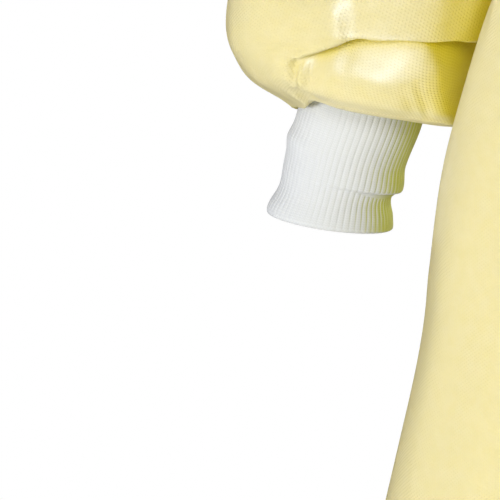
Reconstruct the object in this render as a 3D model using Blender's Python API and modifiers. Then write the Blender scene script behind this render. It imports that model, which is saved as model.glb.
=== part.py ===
"""A surgical isolation gown in thin nonwoven cloth, worn and filled out, with no wearer.

One body: a front panel, two back panels that lap at the centre back, two set-in sleeves
gathered into ribbed knitted cuffs, a bound neck with a fastening patch, and a tie belt sewn in
at the side seams and tied in a bow behind. Every panel is a surface worked out from the
sizes and tables below and given its thickness by a Solidify modifier.

Frame: +Z up, the front faces -Y, the wearer's left is +X. The origin is where the wearer's
shoulders hold the gown: between them, at the height of the neck seam's shoulder points.
"""

import math
from collections import namedtuple

import bmesh
import bpy
import numpy as np

MM = 0.001

# ---- driving sizes, in millimetres ---------------------------------------------------------

CLOTH = 1.2  # wall of the nonwoven panels
SEAM_GAP = 0.5  # left between two panels that are sewn edge to edge
SHOULDER_GAP = 1.0  # the same at the shoulder seam, a ridge whose inner edges lean together
ARMHOLE_GAP = 1.3  # the same at the armhole, where the two walls meet at an angle
ARMPIT_Z = -255.0  # height where the side seam meets the armhole
HEM_Z = -1150.0
SIDE_SEAM = 105.0  # degrees round the body from the centre front
NECK_SHARE = 6 / 12  # share of a panel's top edge that is neckline, the rest is shoulder seam
LAP_GAP = 6.0  # the outer back panel stands this far off the inner one

NECK_HALF_WIDTH = 80.0
NECK_FRONT_DEPTH = 84.0
NECK_BACK_DEPTH = 56.0
NECK_FRONT_DROP = 62.0
NECK_BACK_RISE = 16.0
NECK_SIDE_Z = -8.0
SHOULDER_X = 212.0
SHOULDER_Y = 10.0
SHOULDER_Z = -55.0
SHOULDER_ARCH = 7.0

ARMHOLE_Y = 10.0
ARMHOLE_FRONT = 66.0
ARMHOLE_BACK = 64.0
ARMHOLE_HOLLOW = 12.0  # how far the armhole's edge curves in towards the chest

CUFF_WALL = 1.6
RIBS = 60
RIB_HEIGHT = 0.8
CUFF_CLEAR = 0.5  # between the ribs and the sleeve's end that is lapped over them

BINDING_WALL = 0.8
BINDING_GAP = 0.8

FASTENING_GAP = 0.4  # between the neck's hook-and-loop patch and the panels it joins

BELT_Z = -405.0
BELT_WIDTH = 26.0
BELT_WALL = 1.2
BELT_GAP = 0.5
KNOT_SIZE = (26.0, 14.0, 30.0)
KNOT_GAP = 0.4  # between the knot and the ties that run out of it

# ---- tables ---------------------------------------------------------------------------------

# The body's sections from the armpit to the hem. full and pinch round out the front quarters
# and draw in the back ones, where the arms hang against the gown.
Section = namedtuple("Section", "z half_width side_y front_y back_y full pinch")
SECTIONS = [
    Section(-255, 208, -22, -146, 116, 0.03, 0.04),
    Section(-330, 212, -36, -155, 114, 0.03, 0.08),
    Section(-405, 225, -42, -161, 109, 0.03, 0.08),
    Section(-466, 247, -44, -168, 120, 0.03, 0.08),
    Section(-524, 264, -45, -176, 131, 0.03, 0.07),
    Section(-609, 277, -46, -187, 143, 0.03, 0.05),
    Section(-696, 296, -47, -197, 154, 0.03, 0.04),
    Section(-800, 311, -48, -206, 164, 0.03, 0.03),
    Section(-950, 322, -49, -214, 174, 0.03, 0.02),
    Section(-1150, 329, -50, -220, 182, 0.03, 0.02),
]

# Soft upright folds of the skirt and of the chest. angle runs round the body from the centre
# front, positive towards the wearer's left; top is where a fold starts, and out is how far it
# stands out at its foot.
Drape = namedtuple("Drape", "name angle spread top foot out")
DRAPES = [
    Drape("front_left_crest", 36, 9, -450, -1150, 34),
    Drape("front_left_hollow", 57, 8, -480, -1150, -27),
    Drape("side_left_crest", 84, 10, -560, -1150, 18),
    Drape("back_left_hollow", 122, 7, -540, -1150, -26),
    Drape("back_left_crest", 141, 8, -430, -1150, 28),
    Drape("centre_back_hollow", 163, 7, -440, -1150, -20),
    Drape("front_middle_hollow", 15, 8, -500, -1150, -29),
    Drape("front_middle_crest", -6, 9, -460, -1150, 29),
    Drape("front_right_hollow", -28, 8, -500, -1150, -31),
    Drape("front_right_crest", -50, 9, -480, -1150, 28),
    Drape("back_right_hollow", -125, 7, -560, -1150, -26),
    Drape("back_right_crest", -144, 8, -430, -1150, 28),
    Drape("back_middle_hollow", -166, 7, -450, -1150, -18),
]

# The sleeve's rings, from the armhole to the bottom of its gathered end. along is measured
# down the arm; lat and med are the points on its lateral and medial sides, as distances out
# from the gown's middle and heights; y is the middle's depth; lean tips the ring's front down;
# front and back are half sizes.
Ring = namedtuple("Ring", "along lat_out lat_z med_out med_z y lean front back")
SLEEVE_RINGS = [
    Ring(0, 212, -55, 202, -255, 10, 0, 66, 64),
    Ring(14, 231, -64, 211, -256, 11, 0, 67, 65),
    Ring(32, 253, -84, 216, -265, 13, 0, 67, 66),
    Ring(75, 287, -142, 217, -285, 20, 2, 65, 64),
    Ring(125, 307, -210, 212, -312, 30, 4, 61, 60),
    Ring(185, 317, -297, 207, -346, 38, 6, 58, 56),
    Ring(240, 327, -366, 216, -402, 44, 7, 56, 54),
    Ring(285, 343, -415, 225, -446, 47, 7, 57, 54),
    Ring(325, 362, -460, 231, -482, 49, 7, 59, 54),
    Ring(348, 361.5, -488, 236, -504, 49.5, 3, 54, 51),
    Ring(360, 352, -504, 240, -515, 50, -2, 45, 43),
    Ring(370, 337.5, -515, 247, -522, 51, -7, 33, 32),
]
TURN_IN = 16.0  # length of cloth turned up inside the gathered end, along the cuff

# Folds that lie across a sleeve. angle runs round it from the lateral side (0) over the front
# (90) to the medial side (180). The cloth above a fold stands out and hangs down over the cloth
# below it, and dip lowers the fold's lateral end.
Tuck = namedtuple("Tuck", "name angle spread along width out sag dip")
RIGHT_TUCKS = [
    Tuck("overhang", 118, 78, 329, 8, 6.0, 13, 8),
    Tuck("forearm_roll", 60, 75, 292, 11, 4.0, 7, -10),
    Tuck("elbow_roll", 150, 80, 232, 13, 5.0, 6, 12),
    Tuck("elbow_back_roll", 285, 60, 214, 14, 4.5, 5, 0),
    Tuck("upper_roll", 195, 70, 165, 15, 4.5, 5, 10),
    Tuck("back_overhang", 262, 50, 322, 9, 4.5, 9, 4),
]
LEFT_TUCKS = [
    Tuck("overhang", 95, 62, 330, 8, 5.0, 11, -6),
    Tuck("forearm_roll", 150, 70, 284, 11, 4.5, 7, 8),
    Tuck("elbow_roll", 110, 75, 226, 13, 5.0, 6, -10),
    Tuck("elbow_back_roll", 270, 60, 240, 14, 4.5, 5, 0),
    Tuck("upper_roll", 170, 75, 158, 15, 4.5, 5, 10),
    Tuck("back_overhang", 235, 55, 334, 9, 4.5, 9, -4),
]
GATHERS = 15  # waves where the sleeve's end is drawn into the cuff
GATHER_HEIGHT = 2.2

# The knitted cuff, from its top edge inside the sleeve to its free edge.
Course = namedtuple("Course", "along out y z tilt lean half_width half_depth")
CUFF_COURSES = [
    Course(0, 296.8, 49.5, -500.0, 16, 6, 28.2, 23.4),
    Course(20, 302.2, 51.2, -519.2, 14, 6, 28.1, 23.4),
    Course(36, 307.3, 52.6, -534.6, 13, 6, 27.2, 22.6),
    Course(49, 310.6, 53.8, -547.0, 12, 6, 26.9, 22.2),
    Course(59, 313.0, 54.5, -556.2, 10, 6, 26.4, 22.0),
    Course(70, 315.5, 55.4, -567.0, 7.5, 6, 29.0, 23.6),
]
# Small rucks in the knitting, each standing out round part of the cuff.
Ruck = namedtuple("Ruck", "name angle spread along width out")
CUFF_RUCKS = [
    Ruck("lateral_bead", 8, 26, 36, 4.5, 1.6),
    Ruck("medial_roll", 172, 40, 46.5, 4.0, 1.6),
    Ruck("medial_waist", 176, 42, 53.5, 4.0, -1.8),
    Ruck("back_roll", 285, 40, 44, 5.0, 1.2),
    Ruck("lateral_corner", 4, 24, 67, 4.0, 1.2),
]

# The ribbons of the bow, as (sideways, outwards, up) from the knot's middle. narrow is the
# share of the tie's width that is left where it is drawn into the knot.
Station = namedtuple("Station", "side out up narrow")
LOOP_PATH = [
    Station(14.0, 4.0, 1, 0.60),
    Station(26, 7.5, 1, 0.80),
    Station(46, 11, -1, 0.97),
    Station(66, 12, -4, 1.0),
    Station(80, 10, -6, 1.0),
    Station(85, 5, -7, 1.0),
    Station(80, 1, -7, 1.0),
    Station(58, -1, -6, 0.97),
    Station(34, 0, -4, 0.85),
    Station(14.0, 0.3, -2, 0.60),
]
# The tails hang off the cloth behind them, by out.
LEFT_TAIL_PATH = [
    Station(7, 8.5, -16.2, 0.45),
    Station(13, 9, -44, 0.85),
    Station(19, 5, -100, 1.0),
    Station(22, 5, -170, 1.0),
    Station(31, 9, -250, 1.0),
]
RIGHT_TAIL_PATH = [
    Station(7, 8.5, -16.2, 0.45),
    Station(14, 9, -46, 0.85),
    Station(17, 5, -96, 1.0),
    Station(21, 5, -156, 1.0),
    Station(19, 9, -214, 1.0),
]

# How finely each form is divided.
FRONT_COLUMNS = 24
YOKE_TURNS = [0, 28, 52, 74, 94, 112, 130, 147, 164]  # rows, in degrees down the armhole
SKIRT_HEIGHTS = [-255, -290, -330, -365, -392, -418, -450, -490, -540, -600, -670, -750, -840,
                 -940, -1045, -1150]
BACK_COLUMNS = [-0.14, -0.07, 0, 0.07, 0.14, 0.23, 0.32, 0.41, *(n / 12 for n in range(6, 13))]
SLEEVE_COLUMNS = 30
CUFF_ROWS = [0, 18, 34, 46, 53, 60, 66, 70]
CUFF_INNER_COLUMNS = 40
LOOP_STATIONS = 17
TAIL_STATIONS = 12

YELLOW = (0.88, 0.78, 0.36, 1.0)
KNIT_WHITE = (0.86, 0.86, 0.84, 1.0)


# ---- curves through tables -------------------------------------------------------------------


def smooth(rows, column, x):
    """A table's column at x, on a cubic curve through its rows; x runs along the first column."""
    places = np.array([row[0] for row in rows], float)
    values = np.array([getattr(row, column) for row in rows], float)
    if places[0] > places[-1]:
        places, values = places[::-1], values[::-1]
    slopes = np.gradient(values, places)
    x = np.clip(x, places[0], places[-1])
    i = np.clip(np.searchsorted(places, x) - 1, 0, len(places) - 2)
    span = places[i + 1] - places[i]
    u = (x - places[i]) / span
    ends = values[i] * (1 + 2 * u) * (1 - u) ** 2 + values[i + 1] * u**2 * (3 - 2 * u)
    return ends + span * (slopes[i] * u * (1 - u) ** 2 - slopes[i + 1] * u**2 * (1 - u))


def ease(x, low, high):
    """0 below low and 1 above high, with a smooth step between."""
    u = np.clip((x - low) / (high - low), 0, 1)
    return u * u * (3 - 2 * u)


def bell(x, width):
    """1 at 0, falling away smoothly on both sides."""
    return np.exp(-0.5 * (x / width) ** 2)


def turned(degrees, about):
    """The difference from one angle to another, between -180 and 180 degrees."""
    return (degrees - about + 180) % 360 - 180


def stack(x, y, z):
    return np.stack(np.broadcast_arrays(x, y, z), axis=-1).astype(float)


# ---- the body --------------------------------------------------------------------------------


def body_ring(z, angle):
    """The gown's outer face below the armpit: angle is 0 at the centre front, 90 at the left."""
    turn = np.radians(angle)
    front = np.cos(turn) >= 0
    side_y = smooth(SECTIONS, "side_y", z)
    depth = np.where(front, smooth(SECTIONS, "front_y", z), smooth(SECTIONS, "back_y", z))
    swell = np.where(front, smooth(SECTIONS, "full", z), -smooth(SECTIONS, "pinch", z))
    swell = 1 + swell * np.sin(2 * turn) ** 2
    x = smooth(SECTIONS, "half_width", z) * np.sin(turn) * swell
    y = side_y + (depth - side_y) * np.abs(np.cos(turn)) * swell
    out = sum(
        fold.out
        * ease(-z, -fold.top, -fold.foot) ** 0.75
        * bell(turned(angle, fold.angle), fold.spread)
        for fold in DRAPES
    )
    length = np.hypot(np.sin(turn), np.cos(turn) * 0.7)
    return stack(x + out * np.sin(turn) / length, y - out * 0.7 * np.cos(turn) / length, z)


def neckline(angle):
    """The neck opening's edge: angle is 0 at the centre front and 180 at the centre back."""
    turn = np.radians(angle)
    front = np.cos(turn) >= 0
    depth = np.where(front, NECK_FRONT_DEPTH, NECK_BACK_DEPTH)
    drop = np.where(front, -NECK_FRONT_DROP, NECK_BACK_RISE)
    x = NECK_HALF_WIDTH * np.sin(turn)
    return stack(x, -depth * np.cos(turn), NECK_SIDE_Z + drop * np.cos(turn) ** 2)


def top_edge(across, facing):
    """A panel's neck and shoulder edge. across is -1 at one shoulder's end and 1 at the other;
    facing is 1 for the front and -1 for the back."""
    side = np.sign(across)
    neck = neckline(90 * np.clip(across / NECK_SHARE, -1, 1) if facing > 0
                    else 180 - 90 * np.clip(across / NECK_SHARE, -1, 1))
    share = np.clip((np.abs(across) - NECK_SHARE) / (1 - NECK_SHARE), 0, 1)
    start = stack(side * NECK_HALF_WIDTH, 0 * share, NECK_SIDE_Z + 0 * share)
    end = stack(side * SHOULDER_X, SHOULDER_Y + 0 * share, SHOULDER_Z + 0 * share)
    seam = start + (end - start) * share[..., None]
    seam[..., 2] += SHOULDER_ARCH * np.sin(math.pi * share)
    return np.where((share > 0)[..., None], seam, neck)


def armhole(side, angle):
    """The armhole's edge: side is -1 or 1; angle is 0 at the shoulder, 90 in front, 180 below."""
    turn = np.radians(angle)
    below = body_ring(np.array(ARMPIT_Z), np.array(side * SIDE_SEAM))
    drop = (1 - np.cos(turn)) / 2
    out = SHOULDER_X + (abs(below[0]) - SHOULDER_X) * drop - ARMHOLE_HOLLOW * np.sin(turn) ** 2
    reach = np.where(np.sin(turn) >= 0, ARMHOLE_FRONT, ARMHOLE_BACK)
    y = SHOULDER_Y + (below[1] - SHOULDER_Y) * drop - reach * np.sin(turn)
    return stack(side * out, y, SHOULDER_Z + (ARMPIT_Z - SHOULDER_Z) * drop)


def yoke(across, down, facing):
    """A panel between its top edge (down 0) and the armpit's height (down 1)."""
    span = SIDE_SEAM if facing > 0 else 180 - SIDE_SEAM
    turn = np.degrees(np.arccos(1 - 2 * np.clip(down, 0, 1)))

    def loft(across):
        angle = across * span if facing > 0 else 180 - across * span
        start = top_edge(across, facing)
        end = body_ring(ARMPIT_Z + 0 * across, angle)
        lower = body_ring(ARMPIT_Z - 5 + 0 * across, angle)
        round_neck = np.radians(90 * np.clip(across / NECK_SHARE, -1, 1))
        at_shoulder = ease(np.abs(across), NECK_SHARE, 0.8)
        leave = (1 - at_shoulder)[..., None] * stack(
            95 * np.sin(round_neck), -facing * (75 + 20 * np.cos(round_neck)),
            -14 - 111 * np.cos(round_neck) ** 2,
        ) + at_shoulder[..., None] * np.array([0, -170 * facing, -14])
        arrive = (lower - end) / 5 * 170
        u = down[..., None]
        blend = start * (1 + 2 * u) * (1 - u) ** 2 + end * u**2 * (3 - 2 * u)
        return blend + leave * u * (1 - u) ** 2 - arrive * u**2 * (1 - u)

    side = np.where(across < 0, -1.0, 1.0)
    hollow = np.sin(np.radians(turn))
    cut = 1 - (0.19 if facing > 0 else 0.09) * np.where(turn < 90, hollow**2, hollow)
    hole = armhole(1, turn if facing > 0 else 360 - turn)
    hole[..., 0] *= side
    pull = np.abs(across)[..., None] ** (3 + 5 * (2 * down[..., None] - 1) ** 2)
    return loft(across * cut) + pull * (hole - loft(side * cut))


def lap(across):
    """How far the outer back panel stands off the inner one, across the back."""
    return LAP_GAP * (1 - ease(across, 0.16, 0.5))


def belt_dip(points, angle, z):
    """Draws the body in under the belt, all across the back."""
    depth = 7 * bell(z - BELT_Z, 24) * ease(np.abs(turned(angle, 0)), 88, 118)
    turn = np.radians(angle)
    return points - stack(depth * np.sin(turn), -depth * np.cos(turn), 0 * depth)


def panel(across, level, facing, outer_lap=False):
    """A body panel's outer face. level is 0 at the top edge, 1 at the armpit and 2 at the hem."""
    across, level = np.broadcast_arrays(np.asarray(across, float), np.asarray(level, float))
    span = SIDE_SEAM if facing > 0 else 180 - SIDE_SEAM
    angle = across * span if facing > 0 else 180 - across * span
    z = ARMPIT_Z + (HEM_Z - ARMPIT_Z) * np.clip(level - 1, 0, 1)
    low = belt_dip(body_ring(z, angle), angle, z)
    points = np.where((level < 1)[..., None], yoke(across, np.clip(level, 0, 1), facing), low)
    if outer_lap:
        off = lap(across) * np.ones_like(level)
        points = points + stack(0 * off, off, 0.15 * off * (level < 1))
    return points


# ---- the sleeves -----------------------------------------------------------------------------


def sleeve_rings(side, angle, along):
    """The sleeve's plain tube, with the directions out of it and down it."""
    at = {name: smooth(SLEEVE_RINGS, name, along) for name in Ring._fields[1:]}
    lateral = stack(side * at["lat_out"], at["y"], at["lat_z"])
    medial = stack(side * at["med_out"], at["y"], at["med_z"])
    lean = np.radians(at["lean"])
    forward = stack(0 * lean, -np.cos(lean), -np.sin(lean))
    turn = np.radians(angle)
    depth = np.where(np.sin(turn) >= 0, at["front"], at["back"]) * np.sin(turn)
    spoke = (lateral - medial) / 2 * np.cos(turn)[..., None] + depth[..., None] * forward
    down = np.cross(lateral - medial, forward)
    down *= np.where(down[..., 2:3] > 0, -1.0, 1.0)
    down /= np.linalg.norm(down, axis=-1, keepdims=True)
    outward = spoke / np.linalg.norm(spoke, axis=-1, keepdims=True)
    return (lateral + medial) / 2 + spoke, outward, down


def sleeve(side, angle, along, tucks):
    """A sleeve's outer face. angle is 0 on the lateral side, 90 in front, 180 on the medial side;
    past the last ring the cloth is turned up against the cuff."""
    angle, along = np.broadcast_arrays(np.asarray(angle, float), np.asarray(along, float))
    points, outward, down = sleeve_rings(side, angle, along)
    for tuck in tucks:
        away = turned(angle, tuck.angle)
        strength = bell(away, tuck.spread * 0.55)
        centre = tuck.along + tuck.dip * ease(-away, 0.35 * tuck.spread, tuck.spread)
        u = (along - centre) / tuck.width
        out = -tuck.out * strength * u * np.exp(0.5 - 0.5 * u**2)
        sag = tuck.sag * strength * bell(u, 1)
        points = points + out[..., None] * outward + sag[..., None] * down
    last = SLEEVE_RINGS[-1].along
    wave = GATHER_HEIGHT * np.cos(GATHERS * np.radians(angle)) * ease(along, last - 24, last)
    points = points + (wave * (0.6 - 0.4 * np.cos(np.radians(angle))))[..., None] * outward
    seam = armhole(side, angle) + [side * ARMHOLE_GAP, 0, 0]
    plain = sleeve_rings(side, angle, 0 * along)[0]
    points = points + (1 - ease(along, 0, 60))[..., None] * (seam - plain)
    turned_in = cuff(side, angle, TURN_IN + 3 - (along - last), CUFF_WALL + RIB_HEIGHT + CUFF_CLEAR)
    return np.where((along > last + 1)[..., None], turned_in, points)


def cuff(side, angle, along, lift):
    """A cuff's surface, lift outside its plain inner face."""
    angle, along = np.broadcast_arrays(np.asarray(angle, float), np.asarray(along, float))
    at = {name: smooth(CUFF_COURSES, name, along) for name in Course._fields[1:]}
    turn, tilt, lean = np.radians(angle), np.radians(at["tilt"]), np.radians(at["lean"])
    middle = stack(side * at["out"], at["y"], at["z"])
    lateral = stack(side * np.cos(tilt), 0 * tilt, np.sin(tilt))
    front = stack(0 * lean, -np.cos(lean), -np.sin(lean))
    ruck = sum(
        r.out * bell(turned(angle, r.angle), r.spread) * bell(along - r.along, r.width)
        for r in CUFF_RUCKS
    )
    grow = lift - CUFF_WALL + ruck
    wide = ((at["half_width"] + grow) * np.cos(turn))[..., None] * lateral
    deep = ((at["half_depth"] + grow) * np.sin(turn))[..., None] * front
    return middle + wide + deep


# ---- making meshes ---------------------------------------------------------------------------


def material(name, colour):
    made = bpy.data.materials.new(name)
    made.use_nodes = True
    shader = made.node_tree.nodes["Principled BSDF"]
    shader.inputs["Base Color"].default_value = colour
    shader.inputs["Roughness"].default_value = 0.6
    shader.inputs["Metallic"].default_value = 0.0
    return made


def add_object(name, bm, finish, parts):
    mesh = bpy.data.meshes.new(name)
    bm.to_mesh(mesh)
    bm.free()
    mesh.shade_smooth()
    mesh.materials.append(finish)
    made = bpy.data.objects.new(name, mesh)
    parts.objects.link(made)
    return made


def sheet_mesh(points, closed=False):
    """A grid of faces through rows of points, in millimetres; closed joins its last column
    to its first."""
    rows, columns = points.shape[:2]
    bm = bmesh.new()
    bmesh.ops.create_grid(bm, x_segments=columns - 1, y_segments=rows - 1, size=0.5)
    bm.verts.ensure_lookup_table()
    for vert, point in zip(bm.verts, points.reshape(-1, 3) * MM):
        vert.co = point
    if closed:
        bmesh.ops.remove_doubles(bm, verts=bm.verts, dist=1e-7)
    return bm


def face_outwards(bm, middle):
    """Turns all faces so that the sheet's normals point away from a line or point inside."""
    bm.normal_update()
    centres = [(face.calc_center_median(), face.normal) for face in bm.faces]
    if sum((centre - middle(centre)).dot(normal) for centre, normal in centres) < 0:
        bmesh.ops.reverse_faces(bm, faces=bm.faces)


def wall(made, thickness):
    """Gives a sheet its thickness, inwards from its outer face."""
    solid = made.modifiers.new("cloth", "SOLIDIFY")
    solid.thickness = thickness * MM
    solid.offset = -1
    solid.use_rim = True
    made.modifiers.new("triangles", "TRIANGULATE").quad_method = "BEAUTY"
    return made


def from_axis(point):
    """The nearest point of the gown's upright axis."""
    return type(point)((0, 0, min(point.z, -60 * MM)))


def body_levels():
    """Rows of a panel: steps round the armhole, then the skirt's heights."""
    upper = (1 - np.cos(np.radians(YOKE_TURNS))) / 2
    lower = 1 + (np.array(SKIRT_HEIGHTS) - ARMPIT_Z) / (HEM_Z - ARMPIT_Z)
    return np.concatenate([upper, lower])


def build_panel(name, across, facing, outer_lap, finish, parts):
    """A body panel with columns at the places across. Gaps are left at its sewn edges."""
    levels = body_levels()
    points = panel(across[None, :], levels[:, None], facing, outer_lap)
    for column, inner in ((0, 1), (-1, -2)):
        if abs(across[column]) == 1:
            step = points[:, inner] - points[:, column]
            step /= np.linalg.norm(step, axis=-1, keepdims=True)
            points[:, column] += step * SEAM_GAP / 2
    shoulder = np.abs(across) > NECK_SHARE - 0.01
    points[0, shoulder, 1] -= facing * SHOULDER_GAP / 2
    bm = sheet_mesh(points)
    face_outwards(bm, from_axis)
    return wall(add_object(name, bm, finish, parts), CLOTH)


SLEEVE_ROWS = [0, 14, 32, 52, 75, 104, 134, 164, 192, 214, 234, 256, 280, 302, 316, 323, 329,
               335, 341, 348, 356, 364, 370, 374, 388]


def build_sleeve(name, side, tucks, finish, parts):
    angles = np.linspace(0, 360, SLEEVE_COLUMNS + 1)
    points = sleeve(side, angles[None, :], np.array(SLEEVE_ROWS, float)[:, None], tucks)
    bm = sheet_mesh(points, closed=True)
    bmesh.ops.recalc_face_normals(bm, faces=bm.faces)
    def rank(face):
        centre = face.calc_center_median()
        return abs(centre.z + 0.3) - side * centre.x

    lateral = min(bm.faces, key=rank)
    if lateral.normal.x * side < 0:
        bmesh.ops.reverse_faces(bm, faces=bm.faces)
    return wall(add_object(name, bm, finish, parts), CLOTH)


def build_cuff(name, side, finish, parts):
    """A tube with raised ribs outside and a plain face inside."""
    around = np.arange(2 * RIBS) * 180 / RIBS
    along = np.array(CUFF_ROWS, float)
    fade = 1 - 0.7 * ease(along, along[-2], along[-1])
    ribbed = CUFF_WALL + RIB_HEIGHT * (np.arange(2 * RIBS) % 2) * fade[:, None]
    outer = cuff(side, around[None, :], along[:, None], ribbed)
    inner_around = np.arange(CUFF_INNER_COLUMNS) * 360 / CUFF_INNER_COLUMNS
    inner = cuff(side, inner_around[None, :], along[:, None], 0.0)
    bm = bmesh.new()
    tubes = []
    for points in (outer, inner):
        tube = [[bm.verts.new(p) for p in row * MM] for row in points]
        for upper, lower in zip(tube, tube[1:]):
            for i in range(len(upper)):
                bm.faces.new((upper[i - 1], upper[i], lower[i], lower[i - 1]))
        tubes.append(tube)
    step = 2 * RIBS // CUFF_INNER_COLUMNS
    for end in (0, -1):
        rim, plain = tubes[0][end], tubes[1][end]
        for i in range(CUFF_INNER_COLUMNS):
            arc = [rim[(i * step + k) % len(rim)] for k in range(step + 1)]
            bm.faces.new([*arc, plain[(i + 1) % len(plain)], plain[i]])
    bmesh.ops.recalc_face_normals(bm, faces=bm.faces)
    return add_object(name, bm, finish, parts)


# ---- binding, patch and belt -----------------------------------------------------------------


def neck_strip():
    """The neck's edge from one back panel's free corner round the front to the other's, and the
    line where the binding ends on the cloth, from the panels' own rows and columns, with the
    directions off the cloth and down it from the edge."""
    front = np.linspace(-1, 1, FRONT_COLUMNS + 1)
    back = np.array(BACK_COLUMNS)
    back = back[back < NECK_SHARE + 0.01]
    reach = body_levels()[1]
    seam = NECK_SHARE + 0.03
    runs = [(-back, -1, False, reach), (np.array([-seam]), 1, False, 0),
            (front[abs(front) < NECK_SHARE + 0.01], 1, False, reach),
            (np.array([seam]), 1, False, 0), (back[::-1], -1, True, reach)]
    edges, ends, normals, runs_along = [], [], [], []
    for across, facing, outer_lap, level in runs:
        at_edge = np.clip(across, -NECK_SHARE, NECK_SHARE)
        inner = np.clip(at_edge, -NECK_SHARE + 0.01, NECK_SHARE - 0.01)
        runs_along.append((panel(inner + 0.01, 0.0, facing, outer_lap)
                           - panel(inner - 0.01, 0.0, facing, outer_lap)) * facing)
        edge = panel(at_edge, 0.0, facing, outer_lap)
        for last, before in ((0, 1), (-1, -2)):  # kept a little off the shoulder seam's corner
            if level and abs(abs(at_edge[last]) - NECK_SHARE) < 0.001:
                edge[last] += 0.2 * (edge[before] - edge[last])
        edges.append(edge)
        ends.append(panel(across, level, facing, outer_lap))
        if level:
            side = panel(across + 0.01, reach, facing, outer_lap) - panel(
                across - 0.01, reach, facing, outer_lap)
            fall = panel(across, reach + 0.01, facing, outer_lap) - panel(
                across, reach - 0.01, facing, outer_lap)
            normals.append(np.cross(side, fall) * -facing)
        else:
            normals.append(np.array([[0.0, 0.0, 1.0]]))
    edges, ends, normals = np.concatenate(edges), np.concatenate(ends), np.concatenate(normals)
    normals /= np.linalg.norm(normals, axis=-1, keepdims=True)
    normals *= np.sign((normals * (edges - [0, 0, -300])).sum(-1, keepdims=True))
    side = np.sign(edges[:, :1]) * [0.45, 0.0, 0.0] + [0.0, 0.0, 0.9]
    at_edge = np.where(abs(edges[:, :1]) > NECK_HALF_WIDTH - 0.5, side, normals)
    slopes = np.cross(at_edge, np.concatenate(runs_along))
    slopes /= np.linalg.norm(slopes, axis=-1, keepdims=True)
    slopes *= np.sign((slopes * (edges * [1, 1, 0])).sum(-1, keepdims=True))
    return edges, ends, at_edge, normals, slopes


def sweep(name, lines, finish, parts):
    """A solid through equally long lines that run along it, with flat ends."""
    bm = bmesh.new()
    rings = [[bm.verts.new(p * MM) for p in ring] for ring in zip(*lines)]
    for ring, following in zip(rings, rings[1:]):
        for i in range(len(ring)):
            bm.faces.new((ring[i - 1], ring[i], following[i], following[i - 1]))
    for cap in (rings[0], rings[-1]):
        bm.faces.new(cap)
    bmesh.ops.recalc_face_normals(bm, faces=bm.faces)
    bmesh.ops.triangulate(bm, faces=bm.faces, quad_method="BEAUTY")
    return add_object(name, bm, finish, parts)


def build_binding(name, finish, parts):
    """A folded tape over the neck's raw edge."""
    edges, ends, at_edge, normals, slopes = neck_strip()
    over, under = BINDING_GAP, -CLOTH - BINDING_GAP
    lines = [ends + over * normals, ends + (over + BINDING_WALL) * normals]
    for off, beyond in ((over + BINDING_WALL, BINDING_WALL), (under - BINDING_WALL, BINDING_WALL)):
        lines.append(edges + off * at_edge - (BINDING_GAP + beyond) * slopes)
    lines += [ends + (under - BINDING_WALL) * normals, ends + under * normals]
    lines += [edges + off * at_edge - BINDING_GAP * slopes for off in (under, over)]
    return sweep(name, lines, finish, parts)


def build_fastening(name, finish, parts):
    """The hook-and-loop patch that holds the two back panels together at the neck."""
    across = np.array([a for a in BACK_COLUMNS if abs(a) < 0.1])
    levels = body_levels()[2:4]
    points = panel(across[None, :], levels[:, None], -1, outer_lap=True)
    bm = sheet_mesh(points - np.array([0, CLOTH + FASTENING_GAP, 0]))
    face_outwards(bm, from_axis)
    return wall(add_object(name, bm, finish, parts), LAP_GAP - CLOTH - 2 * FASTENING_GAP)


def belt_rows(side, off):
    """A belt end's upper and lower edges, off the panel it lies on, from the side seam to the
    knot, from the panel's own columns."""
    across = side * np.array([a for a in BACK_COLUMNS[::-1] if a > 0.05])
    level = 1 + (np.array([BELT_Z + BELT_WIDTH / 2, BELT_Z - BELT_WIDTH / 2]) - ARMPIT_Z) / (
        HEM_Z - ARMPIT_Z
    )
    points = panel(across[None, :], level[:, None], -1, outer_lap=side > 0)
    if side < 0:
        points[..., 1] += LAP_GAP * (1 - ease(-across, 0.16, 0.5))
    run = np.gradient(points, axis=1)
    normals = np.cross(run, points[0] - points[1])
    normals /= np.linalg.norm(normals, axis=-1, keepdims=True)
    normals *= np.sign(normals[..., 1:2])
    return points + off * normals


def knot_middle():
    """The knot sits clear of the outer back panel, behind its centre line."""
    z = np.linspace(-0.5, 0.5, 7) * (KNOT_SIZE[2] + 20) + BELT_Z
    level = 1 + (z[:, None] - ARMPIT_Z) / (HEM_Z - ARMPIT_Z)
    rows = panel(np.linspace(0, 0.07, 3)[None, :], level, -1, True)
    return np.array([0, rows[..., 1].max() + 1.0 + KNOT_SIZE[1] / 2, BELT_Z])


def build_belt(name, side, finish, parts):
    middle = knot_middle()
    end = np.array([side * (KNOT_SIZE[0] / 2 + KNOT_GAP), middle[1] - 4.6, BELT_Z])
    lines = []
    for off in (BELT_GAP, BELT_GAP + BELT_WALL):
        for row, up in zip(belt_rows(side, off), (1, -1)):
            last = end + [0, off - BELT_GAP - BELT_WALL / 2, up * BELT_WIDTH * 0.3]
            lines.append(np.concatenate([row, [last]]))
    return sweep(name, [lines[0], lines[1], lines[3], lines[2]], finish, parts)


def build_knot(name, finish, parts):
    bm = bmesh.new()
    bmesh.ops.create_cube(bm, size=1)
    middle = knot_middle()
    for vert in bm.verts:
        vert.co = [(m + c * s) * MM for m, c, s in zip(middle, vert.co, KNOT_SIZE)]
    bmesh.ops.bevel(bm, geom=bm.edges, offset=4 * MM, segments=2, profile=0.5, affect="EDGES")
    bmesh.ops.triangulate(bm, faces=bm.faces)
    return add_object(name, bm, finish, parts)


def off_back(x, z):
    """The outer back panel's depth at a place behind the gown."""
    across = np.degrees(np.arcsin(x / smooth(SECTIONS, "half_width", z))) / (180 - SIDE_SEAM)
    return panel(across, 1 + (z - ARMPIT_Z) / (HEM_Z - ARMPIT_Z), -1, True)[..., 1]


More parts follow.
